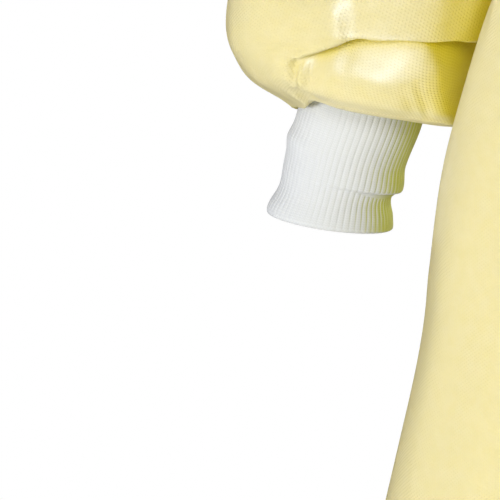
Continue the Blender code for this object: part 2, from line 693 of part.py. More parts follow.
def build_ribbon(name, side, path, count, hangs, finish, parts):
    """A flat tie along a table's path. A loop's width stands upright; one that hangs has its
    width level and keeps to the cloth behind it."""
    width_along = np.array([1.0, 0.0, 0.0] if hangs else [0.0, 0.0, 1.0])
    Numbered = namedtuple("Numbered", ("at", *Station._fields))
    rows = [Numbered(float(i), *row) for i, row in enumerate(path)]
    at = np.linspace(0, len(path) - 1, count)
    line = stack(side * smooth(rows, "side", at), smooth(rows, "out", at), smooth(rows, "up", at))
    line += knot_middle()
    if hangs:
        line[:, 1] = off_back(line[:, 0], line[:, 2]) + smooth(rows, "out", at)
    run = np.gradient(line, axis=0)
    run /= np.linalg.norm(run, axis=-1, keepdims=True)
    wide = width_along - (run @ width_along)[:, None] * run
    wide *= (BELT_WIDTH / 2 * smooth(rows, "narrow", at) / np.linalg.norm(wide, axis=-1))[:, None]
    face = np.cross(run, wide)
    face *= (BELT_WALL / 2 / np.linalg.norm(face, axis=-1))[:, None]
    corners = [(1, 1), (-1, 1), (-1, -1), (1, -1)]
    return sweep(name, [line + w * wide + f * face for w, f in corners], finish, parts)


def main():
    for obj in list(bpy.data.objects):
        bpy.data.objects.remove(obj)
    parts = bpy.data.collections.new("surgical_gown")
    bpy.context.scene.collection.children.link(parts)
    yellow = material("yellow_nonwoven", YELLOW)
    knit = material("white_rib_knit", KNIT_WHITE)
    front = np.linspace(-1, 1, FRONT_COLUMNS + 1)
    back = np.array(BACK_COLUMNS)
    build_panel("front_panel", front, 1, False, yellow, parts)
    build_panel("back_panel_right", -back[::-1], -1, False, yellow, parts)
    build_panel("back_panel_left", back, -1, True, yellow, parts)
    build_sleeve("sleeve_right", -1, RIGHT_TUCKS, yellow, parts)
    build_sleeve("sleeve_left", 1, LEFT_TUCKS, yellow, parts)
    build_cuff("cuff_right", -1, knit, parts)
    build_cuff("cuff_left", 1, knit, parts)
    build_binding("neck_binding", yellow, parts)
    build_fastening("neck_fastening", yellow, parts)
    build_belt("belt_right", -1, yellow, parts)
    build_belt("belt_left", 1, yellow, parts)
    build_knot("belt_knot", yellow, parts)
    build_ribbon("bow_loop_right", -1, LOOP_PATH, LOOP_STATIONS, False, yellow, parts)
    build_ribbon("bow_loop_left", 1, LOOP_PATH, LOOP_STATIONS, False, yellow, parts)
    build_ribbon("bow_tail_right", -1, RIGHT_TAIL_PATH, TAIL_STATIONS, True, yellow, parts)
    build_ribbon("bow_tail_left", 1, LEFT_TAIL_PATH, TAIL_STATIONS, True, yellow, parts)


main()
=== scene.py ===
# %% [markdown]
# # A worn surgical gown in thin nonwoven cloth
#
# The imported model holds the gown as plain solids: a front, two backs, two sleeves, two knitted
# cuffs, a bound neck and a tie belt. This lesson loads it as a fixed frame and makes each
# piece again as real cloth: a thin shell with creases, seams, stitches and a material that
# behaves like the real stuff. Everything is in metres; sizes in the tables are millimetres.

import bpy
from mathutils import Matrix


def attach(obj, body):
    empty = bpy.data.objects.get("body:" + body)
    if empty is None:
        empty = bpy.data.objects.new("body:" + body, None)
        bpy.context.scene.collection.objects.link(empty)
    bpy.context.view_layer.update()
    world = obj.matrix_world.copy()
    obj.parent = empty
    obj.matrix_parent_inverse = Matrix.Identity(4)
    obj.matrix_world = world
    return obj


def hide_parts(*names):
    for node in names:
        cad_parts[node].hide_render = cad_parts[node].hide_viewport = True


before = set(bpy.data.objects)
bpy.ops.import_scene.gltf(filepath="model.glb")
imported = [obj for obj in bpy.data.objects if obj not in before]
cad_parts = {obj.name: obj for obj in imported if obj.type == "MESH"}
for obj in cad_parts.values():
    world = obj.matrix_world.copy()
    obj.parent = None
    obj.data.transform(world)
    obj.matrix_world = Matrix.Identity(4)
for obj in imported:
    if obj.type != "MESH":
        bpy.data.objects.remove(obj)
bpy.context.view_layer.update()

import math
from collections import namedtuple

import bmesh
import bpy
import numpy as np
from mathutils import Vector, noise
from mathutils.bvhtree import BVHTree

MM = 0.001

# %% [markdown]
# ## Camera
#
# A close-up of a sleeve's end is taken with a long lens from some way off, so that the cloth
# isn't distorted. The lens follows from two sizes that are easy to think in: how far away the
# camera is, and how wide a strip of the gown it frames.

# %% The camera
LOOK_AT = Vector((-352.7, 50.0, -581.1)) * MM
VIEW_DISTANCE = 3.2  # m from the camera to the sleeve's end
VIEW_ELEVATION = 7  # degrees above it
FRAME_WIDTH = 0.230  # m of the gown from one side of the frame to the other
SENSOR = 36.0  # mm


def place(obj, position, look_at):
    """Links an object to the scene and turns it to look at a point."""
    bpy.context.scene.collection.objects.link(obj)
    obj.location = position
    obj.rotation_euler = (look_at - obj.location).to_track_quat("-Z", "Y").to_euler()
    return obj


def from_angle(azimuth, elevation, distance):
    """A step from the gown: azimuth 0 is straight in front of it, 90 on the wearer's left."""
    a, e = math.radians(azimuth), math.radians(elevation)
    return distance * Vector((math.sin(a) * math.cos(e), -math.cos(a) * math.cos(e), math.sin(e)))


lens = bpy.data.cameras.new("camera")
lens.sensor_width = SENSOR
lens.lens = SENSOR * VIEW_DISTANCE / FRAME_WIDTH
lens.clip_start, lens.clip_end = 0.05, 100.0
camera = place(
    bpy.data.objects.new("camera", lens),
    LOOK_AT + from_angle(0, VIEW_ELEVATION, VIEW_DISTANCE), LOOK_AT,
)
bpy.context.scene.camera = camera
print(f"camera: {lens.lens:.0f} mm lens, {VIEW_DISTANCE} m away")

# %% [markdown]
# ## Light, floor and background
#
# Pale thin cloth shows its folds when one broad light comes from the side. So the key light
# stands to the left, two fills in front keep the folds open, one from behind shines through
# the cloth, and the white surroundings stay dim for everything but the camera.
#
# A film's gloss depends on where its light stands far more than the shade of a fold does. So
# these four lamps give no gloss, and a fifth, broad and high in front, gives nothing else. That
# way each can be moved without upsetting the other.

# %% Lamps


def colour(code):
    """An sRGB hex colour as linear light, with full alpha."""
    parts = [int(code[i:i + 2], 16) / 255 for i in (1, 3, 5)]
    return (*(c / 12.92 if c <= 0.04045 else ((c + 0.055) / 1.055) ** 2.4 for c in parts), 1.0)


Lamp = namedtuple("Lamp", "name azimuth elevation distance size watts tint gloss")
LAMPS = [
    Lamp("key_light", -60, -4, 3.6, 1.2, 109, "#FFFFFF", False),
    Lamp("top_fill", 0, 20, 3.8, 1.2, 60, "#FFFFFF", False),
    Lamp("gloss_light", 1, 26, 3.8, 1.8, 215, "#CCDDFF", True),
    Lamp("front_fill", -2, -2, 4.0, 1.2, 62, "#FFFFE4", False),
    Lamp("back_light", 150, 28, 4.5, 1.4, 200, "#FFFFFF", False),
]
LIT_MIDDLE = Vector((-0.15, 0.0, -0.55))  # m, the place that all lamps look at


def soft_light(row):
    """A square studio lamp. It lights the cloth and leaves no gloss on it, or, where its row
    says gloss, it gives the cloth's film its gloss and nothing else."""
    lamp = bpy.data.lights.new(row.name, "AREA")
    lamp.size = row.size
    lamp.energy = row.watts
    lamp.color = colour(row.tint)[:3]
    away = from_angle(row.azimuth, row.elevation, row.distance)
    made = place(bpy.data.objects.new(row.name, lamp), LIT_MIDDLE + away, LIT_MIDDLE)
    made.visible_camera = False
    made.visible_glossy = row.gloss
    made.visible_diffuse = not row.gloss
    made.visible_transmission = not row.gloss


for row in LAMPS:
    soft_light(row)
print("lamps:", ", ".join(row.name for row in LAMPS))

# %% White surroundings
SURROUNDINGS = 0.03  # strength for all that the camera doesn't see directly
world = bpy.data.worlds.new("studio")
bpy.context.scene.world = world
world.use_nodes = True
sky = world.node_tree
sky.nodes.clear()


def add(tree, kind, settings=None, inputs=None):
    """Adds a node; settings are its properties, inputs its sockets' values or what feeds them."""
    node = tree.nodes.new(kind)
    for key, value in (settings or {}).items():
        setattr(node, key, value)
    for key, value in (inputs or {}).items():
        if isinstance(value, bpy.types.NodeSocket):
            tree.links.new(value, node.inputs[key])
        else:
            node.inputs[key].default_value = value
    return node


white = colour("#FFFFFF")
dim = add(sky, "ShaderNodeBackground", inputs={"Color": white, "Strength": SURROUNDINGS})
bright = add(sky, "ShaderNodeBackground", inputs={"Color": white, "Strength": 1.0})
path = add(sky, "ShaderNodeLightPath")
seen = add(sky, "ShaderNodeMixShader", inputs={
    0: path.outputs["Is Camera Ray"], 1: dim.outputs[0], 2: bright.outputs[0],
})
add(sky, "ShaderNodeOutputWorld", inputs={"Surface": seen.outputs[0]})
bpy.context.scene.view_settings.view_transform = "Standard"
bpy.context.scene.view_settings.look = "None"
print("white to the camera, and only", SURROUNDINGS, "of that to the cloth")

# %% Floor
FLOOR_Z = -1.42  # m below the shoulders
FLOOR_RADIUS = 1.5  # m
disc = bmesh.new()
bmesh.ops.create_circle(disc, cap_ends=True, segments=96, radius=FLOOR_RADIUS)
floor_mesh = bpy.data.meshes.new("floor")
for vert in disc.verts:
    vert.co.z = FLOOR_Z
disc.to_mesh(floor_mesh)
disc.free()
floor = bpy.data.objects.new("floor", floor_mesh)
bpy.context.scene.collection.objects.link(floor)
paint = bpy.data.materials.new("matt_white_floor_paint")
paint.use_nodes = True
painted = paint.node_tree.nodes["Principled BSDF"].inputs
painted["Base Color"].default_value = colour("#EDEDEB")
painted["Roughness"].default_value = 0.8
floor_mesh.materials.append(paint)
print("a floor", -FLOOR_Z, "m below the shoulders")

# %% [markdown]
# ## Materials: point-bonded polypropylene
#
# The cloth is spun from polypropylene threads and pressed between hot rollers. One roller has
# small raised points, so the sheet carries a staggered grid of sunken, glassy bond points. The
# pattern could be an image, but it is drawn from the UV map, which here is the flat cloth in
# metres, so that it keeps its size and follows every fold.
#
# A plastic film on the cloth shines softly, and that is the Principled shader's coat. Thin
# yellow cloth also lets light through: that is a Translucent shader mixed into it. In a hollow,
# light goes from cloth to cloth many times and takes up more yellow each time. An Ambient
# Occlusion node finds such places, and there painted shade mixes the colour towards a deeper
# yellow: bounced light painted into the cloth's colour.

# %% Shorthands for shader nodes


def new_material(name):
    """An empty node material, and its tree."""
    made = bpy.data.materials.new(name)
    made.use_nodes = True
    made.node_tree.nodes.clear()
    return made, made.node_tree


def vector_math(tree, operation, *values):
    """A sum on vectors, as a node."""
    return add(tree, "ShaderNodeVectorMath", {"operation": operation}, dict(enumerate(values)))


def math_node(tree, operation, *values):
    """A sum on numbers, as the output of a node."""
    return add(tree, "ShaderNodeMath", {"operation": operation}, dict(enumerate(values))).outputs[0]


def remapped(tree, value, low, high, at_low, at_high, kind="LINEAR"):
    """A value brought from one range to another, and held inside it."""
    return add(tree, "ShaderNodeMapRange", {"interpolation_type": kind}, {
        0: value, 1: low, 2: high, 3: at_low, 4: at_high,
    }).outputs[0]


def blended(tree, share, one, other):
    """A colour between two: the first where share is 0 and the second where it is 1."""
    return add(tree, "ShaderNodeMix", {"data_type": "RGBA"}, {0: share, 6: one, 7: other}).outputs[2]


def grains(tree, where, size, detail, roughness):
    """Noise between 0 and 1, with grains of a size in millimetres."""
    return add(tree, "ShaderNodeTexNoise", inputs={
        "Vector": where, "Scale": 1 / (size * MM), "Detail": detail, "Roughness": roughness,
    }).outputs[0]


def facing_cloth(tree, reach, closed, free, most):
    """How much other cloth faces this point from nearby, from most in a hollow to 0 in the open."""
    near = add(tree, "ShaderNodeAmbientOcclusion", {"samples": 6}, {"Distance": reach * MM})
    return remapped(tree, near.outputs["AO"], closed, free, most, 0.0)


print("shader nodes can now be written as sums")

# %% The bonded cloth
BOND_COLUMN = 1.45  # mm between neighbouring columns of bond points
BOND_ROW = 1.65  # mm between the points of one column
BOND_RADIUS = 0.42  # mm
BOND_DEPTH = 0.2  # mm
BOND_TINT = 0.08  # how much of its own colour a bond point shows
FIBRE = 0.45  # mm; real fibres are 0.02 mm, too fine to show, so they are drawn coarser
FIBRE_HEIGHT = 0.12  # mm
FORMATION = 7.0  # mm across the clouds of thicker and thinner web
PAINTED_SHADE_REACH = 60.0  # mm within which facing cloth brings painted shade, a deeper yellow
PAINTED_SHADE_MOST = 0.95  # how much of the painted shade's deep yellow the deepest hollow shows
SHINE_THROUGH = 0.38  # share of the light that comes through the cloth
WEB_ROUGH, POINT_ROUGH = 0.42, 0.34


def bond_points(tree, flat):
    """1 on a bond point and 0 between them. Each second column is half a row further down."""
    cell = (2 * BOND_COLUMN, BOND_ROW, 1.0)
    grid = vector_math(tree, "DIVIDE", flat, [c * MM for c in cell]).outputs[0]
    away = []
    for shift in (0.0, 0.5):
        moved = vector_math(tree, "ADD", grid, (shift, shift, 0.0)).outputs[0]
        inside = vector_math(tree, "FRACTION", moved).outputs[0]
        centred = vector_math(tree, "SUBTRACT", inside, (0.5, 0.5, 0.0)).outputs[0]
        sized = vector_math(tree, "MULTIPLY", centred, (cell[0], cell[1], 0.0)).outputs[0]
        away.append(vector_math(tree, "LENGTH", sized).outputs["Value"])
    nearest = math_node(tree, "MINIMUM", *away)
    return remapped(tree, nearest, BOND_RADIUS * 0.5, BOND_RADIUS * 1.5, 1.0, 0.0, "SMOOTHSTEP")


def bonded_cloth(name, body, thin, bond, glow, folded):
    """Nonwoven cloth, from the colours of its web, its thin places, its bond points, the light
    that comes through it and the painted shade of its hollows."""
    made, tree = new_material(name)
    flat = add(tree, "ShaderNodeUVMap", {"uv_map": "flat"}).outputs[0]
    point = bond_points(tree, flat)
    fibres = grains(tree, flat, FIBRE, 2.0, 0.6)
    clouds = grains(tree, flat, FORMATION, 3.0, 0.55)
    thickness = remapped(tree, clouds, 0.3, 0.7, 0.0, 1.0)
    web = blended(tree, thickness, colour(body), colour(thin))
    dotted = blended(tree, math_node(tree, "MULTIPLY", point, BOND_TINT), web, colour(bond))
    # Painted shade: near facing cloth the colour goes towards the deep yellow of bounced light.
    hollow = facing_cloth(tree, PAINTED_SHADE_REACH, 0.2, 0.7, PAINTED_SHADE_MOST)
    with_painted_shade = blended(tree, hollow, dotted, colour(folded))
    pressed = add(tree, "ShaderNodeBump", {"invert": True}, {
        "Height": point, "Strength": 0.8, "Distance": BOND_DEPTH * MM,
    }).outputs[0]
    fibrous = add(tree, "ShaderNodeBump", inputs={
        "Height": fibres, "Strength": 0.25, "Distance": FIBRE_HEIGHT * MM, "Normal": pressed,
    }).outputs[0]
    film = add(tree, "ShaderNodeBsdfPrincipled", inputs={
        "Base Color": with_painted_shade, "IOR": 1.49,
        "Roughness": remapped(tree, point, 0.0, 1.0, WEB_ROUGH, POINT_ROUGH),
        "Diffuse Roughness": 0.8, "Specular IOR Level": 0.6, "Sheen Weight": 0.12,
        "Coat Weight": 1.0, "Coat Roughness": 0.37, "Coat IOR": 1.5,
        "Sheen Roughness": 0.45, "Sheen Tint": colour("#FFF6C8"),
        "Normal": fibrous,
    }).outputs[0]
    through = add(tree, "ShaderNodeBsdfTranslucent", inputs={"Color": colour(glow), "Normal": fibrous})
    both = add(tree, "ShaderNodeMixShader", inputs={
        0: SHINE_THROUGH, 1: film, 2: through.outputs[0],
    })
    add(tree, "ShaderNodeOutputMaterial", inputs={"Surface": both.outputs[0]})
    return made


# The last colour is painted shade: the deeper yellow that bounced light gives hollows.
yellow_cloth = bonded_cloth(
    "point_bonded_polypropylene",
    body="#F6EFCA", thin="#F3EBBE", bond="#E6DB9A", glow="#F1EA34", folded="#EEDF18",
)
print("bond points every", BOND_COLUMN, "x", BOND_ROW, "mm")

# %% [markdown]
# ## Materials: knitting, thread and fastening tape
#
# The cuffs are cotton and polyester rib knit: matt, soft, off-white, with rows of small V
# stitches, whose grooves are coloured darker as painted shade. On the side of a white cuff
# that faces the yellow skirt, painted bounce light tints the knit yellow, as far as the skirt
# comes close. The seams are sewn with spun polyester thread. The neck closes with nylon hook
# and loop tape, whose loops make a matt, uneven pile.

# %% Knit
WALE = 1.4  # mm from one column of stitches to the next
COURSE = 1.1  # mm from one row of stitches to the next
FLUFF = 0.5  # mm across a tuft of loose fibre
PAINTED_BOUNCE_REACH = 130.0  # mm within which painted bounce light from the skirt tints the knit
PAINTED_BOUNCE_SIDE = (-0.4, -0.78)  # how far outwards a side faces where the painted bounce light starts, and is full


def rib_knit(name, groove, crest, painted_bounce_yellow):
    """Knitting, from the colours of its grooves, darker as painted shade, and its crests, and of
    the painted bounce light on its side beside the skirt.
    """
    made, tree = new_material(name)
    flat = add(tree, "ShaderNodeUVMap", {"uv_map": "flat"}).outputs[0]
    parts = add(tree, "ShaderNodeSeparateXYZ", inputs={0: flat})
    wale = math_node(tree, "FRACT", math_node(tree, "DIVIDE", parts.outputs[0], WALE * MM))
    slant = math_node(tree, "ABSOLUTE", math_node(tree, "SUBTRACT", wale, 0.5))
    rows = math_node(tree, "ADD", math_node(tree, "DIVIDE", parts.outputs[1], COURSE * MM), slant)
    half_turns = math_node(tree, "MULTIPLY", rows, math.pi)
    yarn = math_node(tree, "ABSOLUTE", math_node(tree, "SINE", half_turns))
    fluff = grains(tree, flat, FLUFF, 3.0, 0.6)
    # Painted shade: between the rows of stitches the yarn takes the darker groove colour.
    lit = math_node(tree, "MULTIPLY", yarn, 0.8)
    shade = blended(tree, lit, colour(groove), colour(crest))
    # Painted bounce light: the side that faces the skirt, where the skirt is near, is tinted yellow.
    here = add(tree, "ShaderNodeNewGeometry").outputs
    x = add(tree, "ShaderNodeSeparateXYZ", inputs={0: here["Position"]}).outputs[0]
    normal_x = add(tree, "ShaderNodeSeparateXYZ", inputs={0: here["Normal"]}).outputs[0]
    outward = math_node(tree, "MULTIPLY", math_node(tree, "SIGN", x), normal_x)
    towards_skirt = remapped(tree, outward, *PAINTED_BOUNCE_SIDE, 0.0, 1.0)
    near_skirt = facing_cloth(tree, PAINTED_BOUNCE_REACH, 0.3, 0.9, 1.0)
    painted_bounce_share = math_node(tree, "MULTIPLY", towards_skirt, near_skirt)
    with_painted_bounce = blended(tree, painted_bounce_share, shade, colour(painted_bounce_yellow))
    looped = add(tree, "ShaderNodeBump", inputs={
        "Height": yarn, "Strength": 0.35, "Distance": 0.14 * MM,
    }).outputs[0]
    fluffy = add(tree, "ShaderNodeBump", inputs={
        "Height": fluff, "Strength": 0.35, "Distance": 0.15 * MM, "Normal": looped,
    }).outputs[0]
    yarns = add(tree, "ShaderNodeBsdfPrincipled", inputs={
        "Base Color": with_painted_bounce, "Roughness": 0.92, "IOR": 1.5, "Specular IOR Level": 0.25,
        "Sheen Weight": 0.15, "Sheen Roughness": 0.6, "Normal": fluffy,
    })
    add(tree, "ShaderNodeOutputMaterial", inputs={"Surface": yarns.outputs[0]})
    return made


# The groove colour is darker by painted shade; the last colour is painted bounce light.
white_knit = rib_knit("cotton_rib_knit", groove="#BABCC1", crest="#C5C7CC",
                      painted_bounce_yellow="#B7BA4A")
print("knit:", WALE, "mm between columns,", COURSE, "mm between rows of stitches")

# %% Thread and tape


def spun_yarn(name, pale, dark, grain, rough):
    """Thread or pile: two close colours in fine grain, in the object's own coordinates."""
    made, tree = new_material(name)
    at = add(tree, "ShaderNodeTexCoord").outputs["Object"]
    speckle = grains(tree, at, grain, 3.0, 0.6)
    shade = blended(tree, speckle, colour(pale), colour(dark))
    uneven = add(tree, "ShaderNodeBump", inputs={
        "Height": speckle, "Strength": 0.5, "Distance": 0.2 * grain * MM,
    }).outputs[0]
    fibre = add(tree, "ShaderNodeBsdfPrincipled", inputs={
        "Base Color": shade, "Roughness": rough, "IOR": 1.5, "Sheen Weight": 0.2, "Normal": uneven,
    })
    add(tree, "ShaderNodeOutputMaterial", inputs={"Surface": fibre.outputs[0]})
    return made


thread = spun_yarn("spun_polyester_thread", "#F2E7B4", "#DCCB7E", 0.4, 0.55)
loop_pile = spun_yarn("nylon_loop_pile", "#F4EFD2", "#D9D2A8", 0.6, 0.85)
print("four finishes: cloth, knit, thread and loop pile")

# %% [markdown]
# ## The gown's form, from its sizes
#
# The same sizes and tables that shaped the solids shape the cloth, so that each sheet lies
# where its solid lies. A simulated gown would hang more truly, but it would wander off its
# solids, and no one could say where a fold comes. So each form is a table with a row for each
# section, ring or fold, and `smooth` draws a curve through one of its columns.

# %% Curves through tables


def smooth(rows, column, x):
    """A table's column at x, on a cubic curve through its rows; x runs along the first column."""
    places = np.array([row[0] for row in rows], float)
    values = np.array([getattr(row, column) for row in rows], float)
    if places[0] > places[-1]:
        places, values = places[::-1], values[::-1]
    slopes = np.gradient(values, places)
    x = np.clip(x, places[0], places[-1])
    i = np.clip(np.searchsorted(places, x) - 1, 0, len(places) - 2)
    span = places[i + 1] - places[i]
    u = (x - places[i]) / span
    ends = values[i] * (1 + 2 * u) * (1 - u) ** 2 + values[i + 1] * u**2 * (3 - 2 * u)
    return ends + span * (slopes[i] * u * (1 - u) ** 2 - slopes[i + 1] * u**2 * (1 - u))


def ease(x, low, high):
    """0 below low and 1 above high, with a smooth step between."""
    u = np.clip((x - low) / (high - low), 0, 1)
    return u * u * (3 - 2 * u)


def bell(x, width):
    """1 at 0, falling away smoothly on both sides."""
    return np.exp(-0.5 * (x / width) ** 2)


def turned(degrees, about):
    """The difference from one angle to another, between -180 and 180 degrees."""
    return (degrees - about + 180) % 360 - 180


def stack(x, y, z):
    """Points from their three coordinates, which may be single numbers or grids."""
    return np.stack(np.broadcast_arrays(x, y, z), axis=-1).astype(float)


def unit(vectors):
    """The same directions, 1 long."""
    return vectors / np.maximum(np.linalg.norm(vectors, axis=-1, keepdims=True), 1e-9)


print("an eased step, a quarter of the way up its run:", float(ease(0.25, 0, 1)))

# %% The body's sizes
ARMPIT_Z = -255.0
HEM_Z = -1150.0
SIDE_SEAM = 105.0  # degrees round the body from the centre front
NECK_SHARE = 0.5  # share of a panel's half width that ends at the neck, not at the shoulder
LAP_GAP = 6.0  # between the two back panels
LAP_INNER, LAP_OUTER = 0.16, 0.5  # places across the outer back panel where it comes to lie flat
NECK_HALF_WIDTH = 80.0
NECK_FRONT_DEPTH = 84.0
NECK_BACK_DEPTH = 56.0
NECK_FRONT_DROP = 62.0
NECK_BACK_RISE = 16.0
NECK_SIDE_Z = -8.0
SHOULDER = np.array([212.0, 10.0, -55.0])  # the shoulder seam's outer end, on the left
SHOULDER_ARCH = 7.0
ARMHOLE_FRONT = 66.0
ARMHOLE_BACK = 64.0
ARMHOLE_HOLLOW = 12.0
BELT_Z = -405.0
BELT_GROOVE = 7.0  # how far the belt draws the back in
FOLD_FLATNESS = 0.7  # a fold in front goes out this much of one at the side
YOKE_PULL = 170.0  # how stiffly the yoke leaves the shoulder and reaches the armpit's height

Section = namedtuple("Section", "z half_width side_y front_y back_y full pinch")
SECTIONS = [
    Section(-255, 208, -22, -146, 116, 0.03, 0.04),
    Section(-330, 212, -36, -155, 114, 0.03, 0.08),
    Section(-405, 225, -42, -161, 109, 0.03, 0.08),
    Section(-466, 247, -44, -168, 120, 0.03, 0.08),
    Section(-524, 264, -45, -176, 131, 0.03, 0.07),
    Section(-609, 277, -46, -187, 143, 0.03, 0.05),
    Section(-696, 296, -47, -197, 154, 0.03, 0.04),
    Section(-800, 311, -48, -206, 164, 0.03, 0.03),
    Section(-950, 322, -49, -214, 174, 0.03, 0.02),
    Section(-1150, 329, -50, -220, 182, 0.03, 0.02),
]
Drape = namedtuple("Drape", "name angle spread top foot out")
DRAPES = [
    Drape("front_left_crest", 36, 9, -450, -1150, 34),
    Drape("front_left_hollow", 57, 8, -480, -1150, -27),
    Drape("side_left_crest", 84, 10, -560, -1150, 18),
    Drape("back_left_hollow", 122, 7, -540, -1150, -26),
    Drape("back_left_crest", 141, 8, -430, -1150, 28),
    Drape("centre_back_hollow", 163, 7, -440, -1150, -20),
    Drape("front_middle_hollow", 15, 8, -500, -1150, -29),
    Drape("front_middle_crest", -6, 9, -460, -1150, 29),
    Drape("front_right_hollow", -28, 8, -500, -1150, -31),
    Drape("front_right_crest", -50, 9, -480, -1150, 28),
    Drape("back_right_hollow", -125, 7, -560, -1150, -26),
    Drape("back_right_crest", -144, 8, -430, -1150, 28),
    Drape("back_middle_hollow", -166, 7, -450, -1150, -18),
]
print(len(SECTIONS), "sections below the armpits, and", len(DRAPES), "long folds")

# %% The body below the armpits


def body_ring(z, angle):
    """The gown's outer face below the armpit: angle is 0 at the centre front, 90 at the left."""
    turn = np.radians(angle)
    front = np.cos(turn) >= 0
    side_y = smooth(SECTIONS, "side_y", z)
    depth = np.where(front, smooth(SECTIONS, "front_y", z), smooth(SECTIONS, "back_y", z))
    swell = np.where(front, smooth(SECTIONS, "full", z), -smooth(SECTIONS, "pinch", z))
    swell = 1 + swell * np.sin(2 * turn) ** 2
    x = smooth(SECTIONS, "half_width", z) * np.sin(turn) * swell
    y = side_y + (depth - side_y) * np.abs(np.cos(turn)) * swell
    out = sum(
        fold.out
        * ease(-z, -fold.top, -fold.foot) ** 0.75
        * bell(turned(angle, fold.angle), fold.spread)
        for fold in DRAPES
    )
    fore = FOLD_FLATNESS * np.cos(turn)
    length = np.hypot(np.sin(turn), fore)
    return stack(x + out * np.sin(turn) / length, y - out * fore / length, z)


hem_ring = body_ring(np.array(HEM_Z), np.linspace(0, 360, 361))
print(f"round the hem: {np.linalg.norm(np.diff(hem_ring, axis=0), axis=1).sum():.0f} mm")

# %% Neck, shoulders and armholes


def neckline(angle):
    """The neck opening's edge: angle is 0 at the centre front and 180 at the centre back."""
    turn = np.radians(angle)
    front = np.cos(turn) >= 0
    depth = np.where(front, NECK_FRONT_DEPTH, NECK_BACK_DEPTH)
    drop = np.where(front, -NECK_FRONT_DROP, NECK_BACK_RISE)
    x = NECK_HALF_WIDTH * np.sin(turn)
    return stack(x, -depth * np.cos(turn), NECK_SIDE_Z + drop * np.cos(turn) ** 2)


def top_edge(across, facing):
    """A panel's neck and shoulder edge; facing is 1 for the front and -1 for the back."""
    side = np.sign(across)
    quarter = 90 * np.clip(across / NECK_SHARE, -1, 1)
    neck = neckline(quarter if facing > 0 else 180 - quarter)
    share = np.clip((np.abs(across) - NECK_SHARE) / (1 - NECK_SHARE), 0, 1)
    start = stack(side * NECK_HALF_WIDTH, 0 * share, NECK_SIDE_Z + 0 * share)
    end = stack(side * SHOULDER[0], SHOULDER[1] + 0 * share, SHOULDER[2] + 0 * share)
    seam = start + (end - start) * share[..., None]
    seam[..., 2] += SHOULDER_ARCH * np.sin(math.pi * share)
    return np.where((share > 0)[..., None], seam, neck)


def armhole(side, angle):
    """The armhole's edge: side is -1 or 1; angle is 0 at the shoulder, 90 in front, 180 below."""
    turn = np.radians(angle)
    below = body_ring(np.array(ARMPIT_Z), np.array(side * SIDE_SEAM))
    drop = (1 - np.cos(turn)) / 2
    out = SHOULDER[0] + (abs(below[0]) - SHOULDER[0]) * drop - ARMHOLE_HOLLOW * np.sin(turn) ** 2
    reach = np.where(np.sin(turn) >= 0, ARMHOLE_FRONT, ARMHOLE_BACK)
    y = SHOULDER[1] + (below[1] - SHOULDER[1]) * drop - reach * np.sin(turn)
    return stack(side * out, y, SHOULDER[2] + (ARMPIT_Z - SHOULDER[2]) * drop)


armhole_ring = armhole(1, np.linspace(0, 360, 181))
print(f"round an armhole: {np.linalg.norm(np.diff(armhole_ring, axis=0), axis=1).sum():.0f} mm")

# %% The panels' surface


def yoke(across, down, facing):
    """A panel between its top edge (down 0) and the armpit's height (down 1)."""
    span = SIDE_SEAM if facing > 0 else 180 - SIDE_SEAM
    turn = np.degrees(np.arccos(1 - 2 * np.clip(down, 0, 1)))

    def loft(across):
        """The plain yoke: curves from the top edge down to the armpit's height."""
        angle = across * span if facing > 0 else 180 - across * span
        start = top_edge(across, facing)
        end = body_ring(ARMPIT_Z + 0 * across, angle)
        lower = body_ring(ARMPIT_Z - 5 + 0 * across, angle)
        round_neck = np.radians(90 * np.clip(across / NECK_SHARE, -1, 1))
        at_shoulder = ease(np.abs(across), NECK_SHARE, 0.8)
        from_neck = stack(
            95 * np.sin(round_neck), -facing * (75 + 20 * np.cos(round_neck)),
            -14 - 111 * np.cos(round_neck) ** 2,
        )
        from_shoulder = np.array([0, -YOKE_PULL * facing, -14])
        leave = (1 - at_shoulder)[..., None] * from_neck + at_shoulder[..., None] * from_shoulder
        arrive = (lower - end) / 5 * YOKE_PULL
        u = down[..., None]
        blend = start * (1 + 2 * u) * (1 - u) ** 2 + end * u**2 * (3 - 2 * u)
        return blend + leave * u * (1 - u) ** 2 - arrive * u**2 * (1 - u)

    side = np.where(across < 0, -1.0, 1.0)
    hollow = np.sin(np.radians(turn))
    cut = 1 - (0.19 if facing > 0 else 0.09) * np.where(turn < 90, hollow**2, hollow)
    hole = armhole(1, turn if facing > 0 else 360 - turn)
    hole[..., 0] *= side
    pull = np.abs(across)[..., None] ** (3 + 5 * (2 * down[..., None] - 1) ** 2)
    return loft(across * cut) + pull * (hole - loft(side * cut))


def lap(across):
    """How far the outer back panel lies off the inner one, at a place across it."""
    return LAP_GAP * (1 - ease(across, LAP_INNER, LAP_OUTER))


def panel(across, level, facing, outer_lap=False):
    """A body panel's outer face. level is 0 at the top edge, 1 at the armpit and 2 at the hem."""
    across, level = np.broadcast_arrays(np.asarray(across, float), np.asarray(level, float))
    angle = panel_angle(across, facing)
    z = ARMPIT_Z + (HEM_Z - ARMPIT_Z) * np.clip(level - 1, 0, 1)
    turn = np.radians(angle)
    depth = BELT_GROOVE * bell(z - BELT_Z, 24) * ease(np.abs(turned(angle, 0)), 88, 118)
    low = body_ring(z, angle) - stack(depth * np.sin(turn), -depth * np.cos(turn), 0 * depth)
    points = np.where((level < 1)[..., None], yoke(across, np.clip(level, 0, 1), facing), low)
    if outer_lap:
        off = lap(across) * np.ones_like(level)
        points = points + stack(0 * off, off, 0.15 * off * (level < 1))
    return points


def panel_angle(across, facing):
    """Degrees round the body, of a place across a panel."""
    return across * SIDE_SEAM if facing > 0 else 180 - across * (180 - SIDE_SEAM)


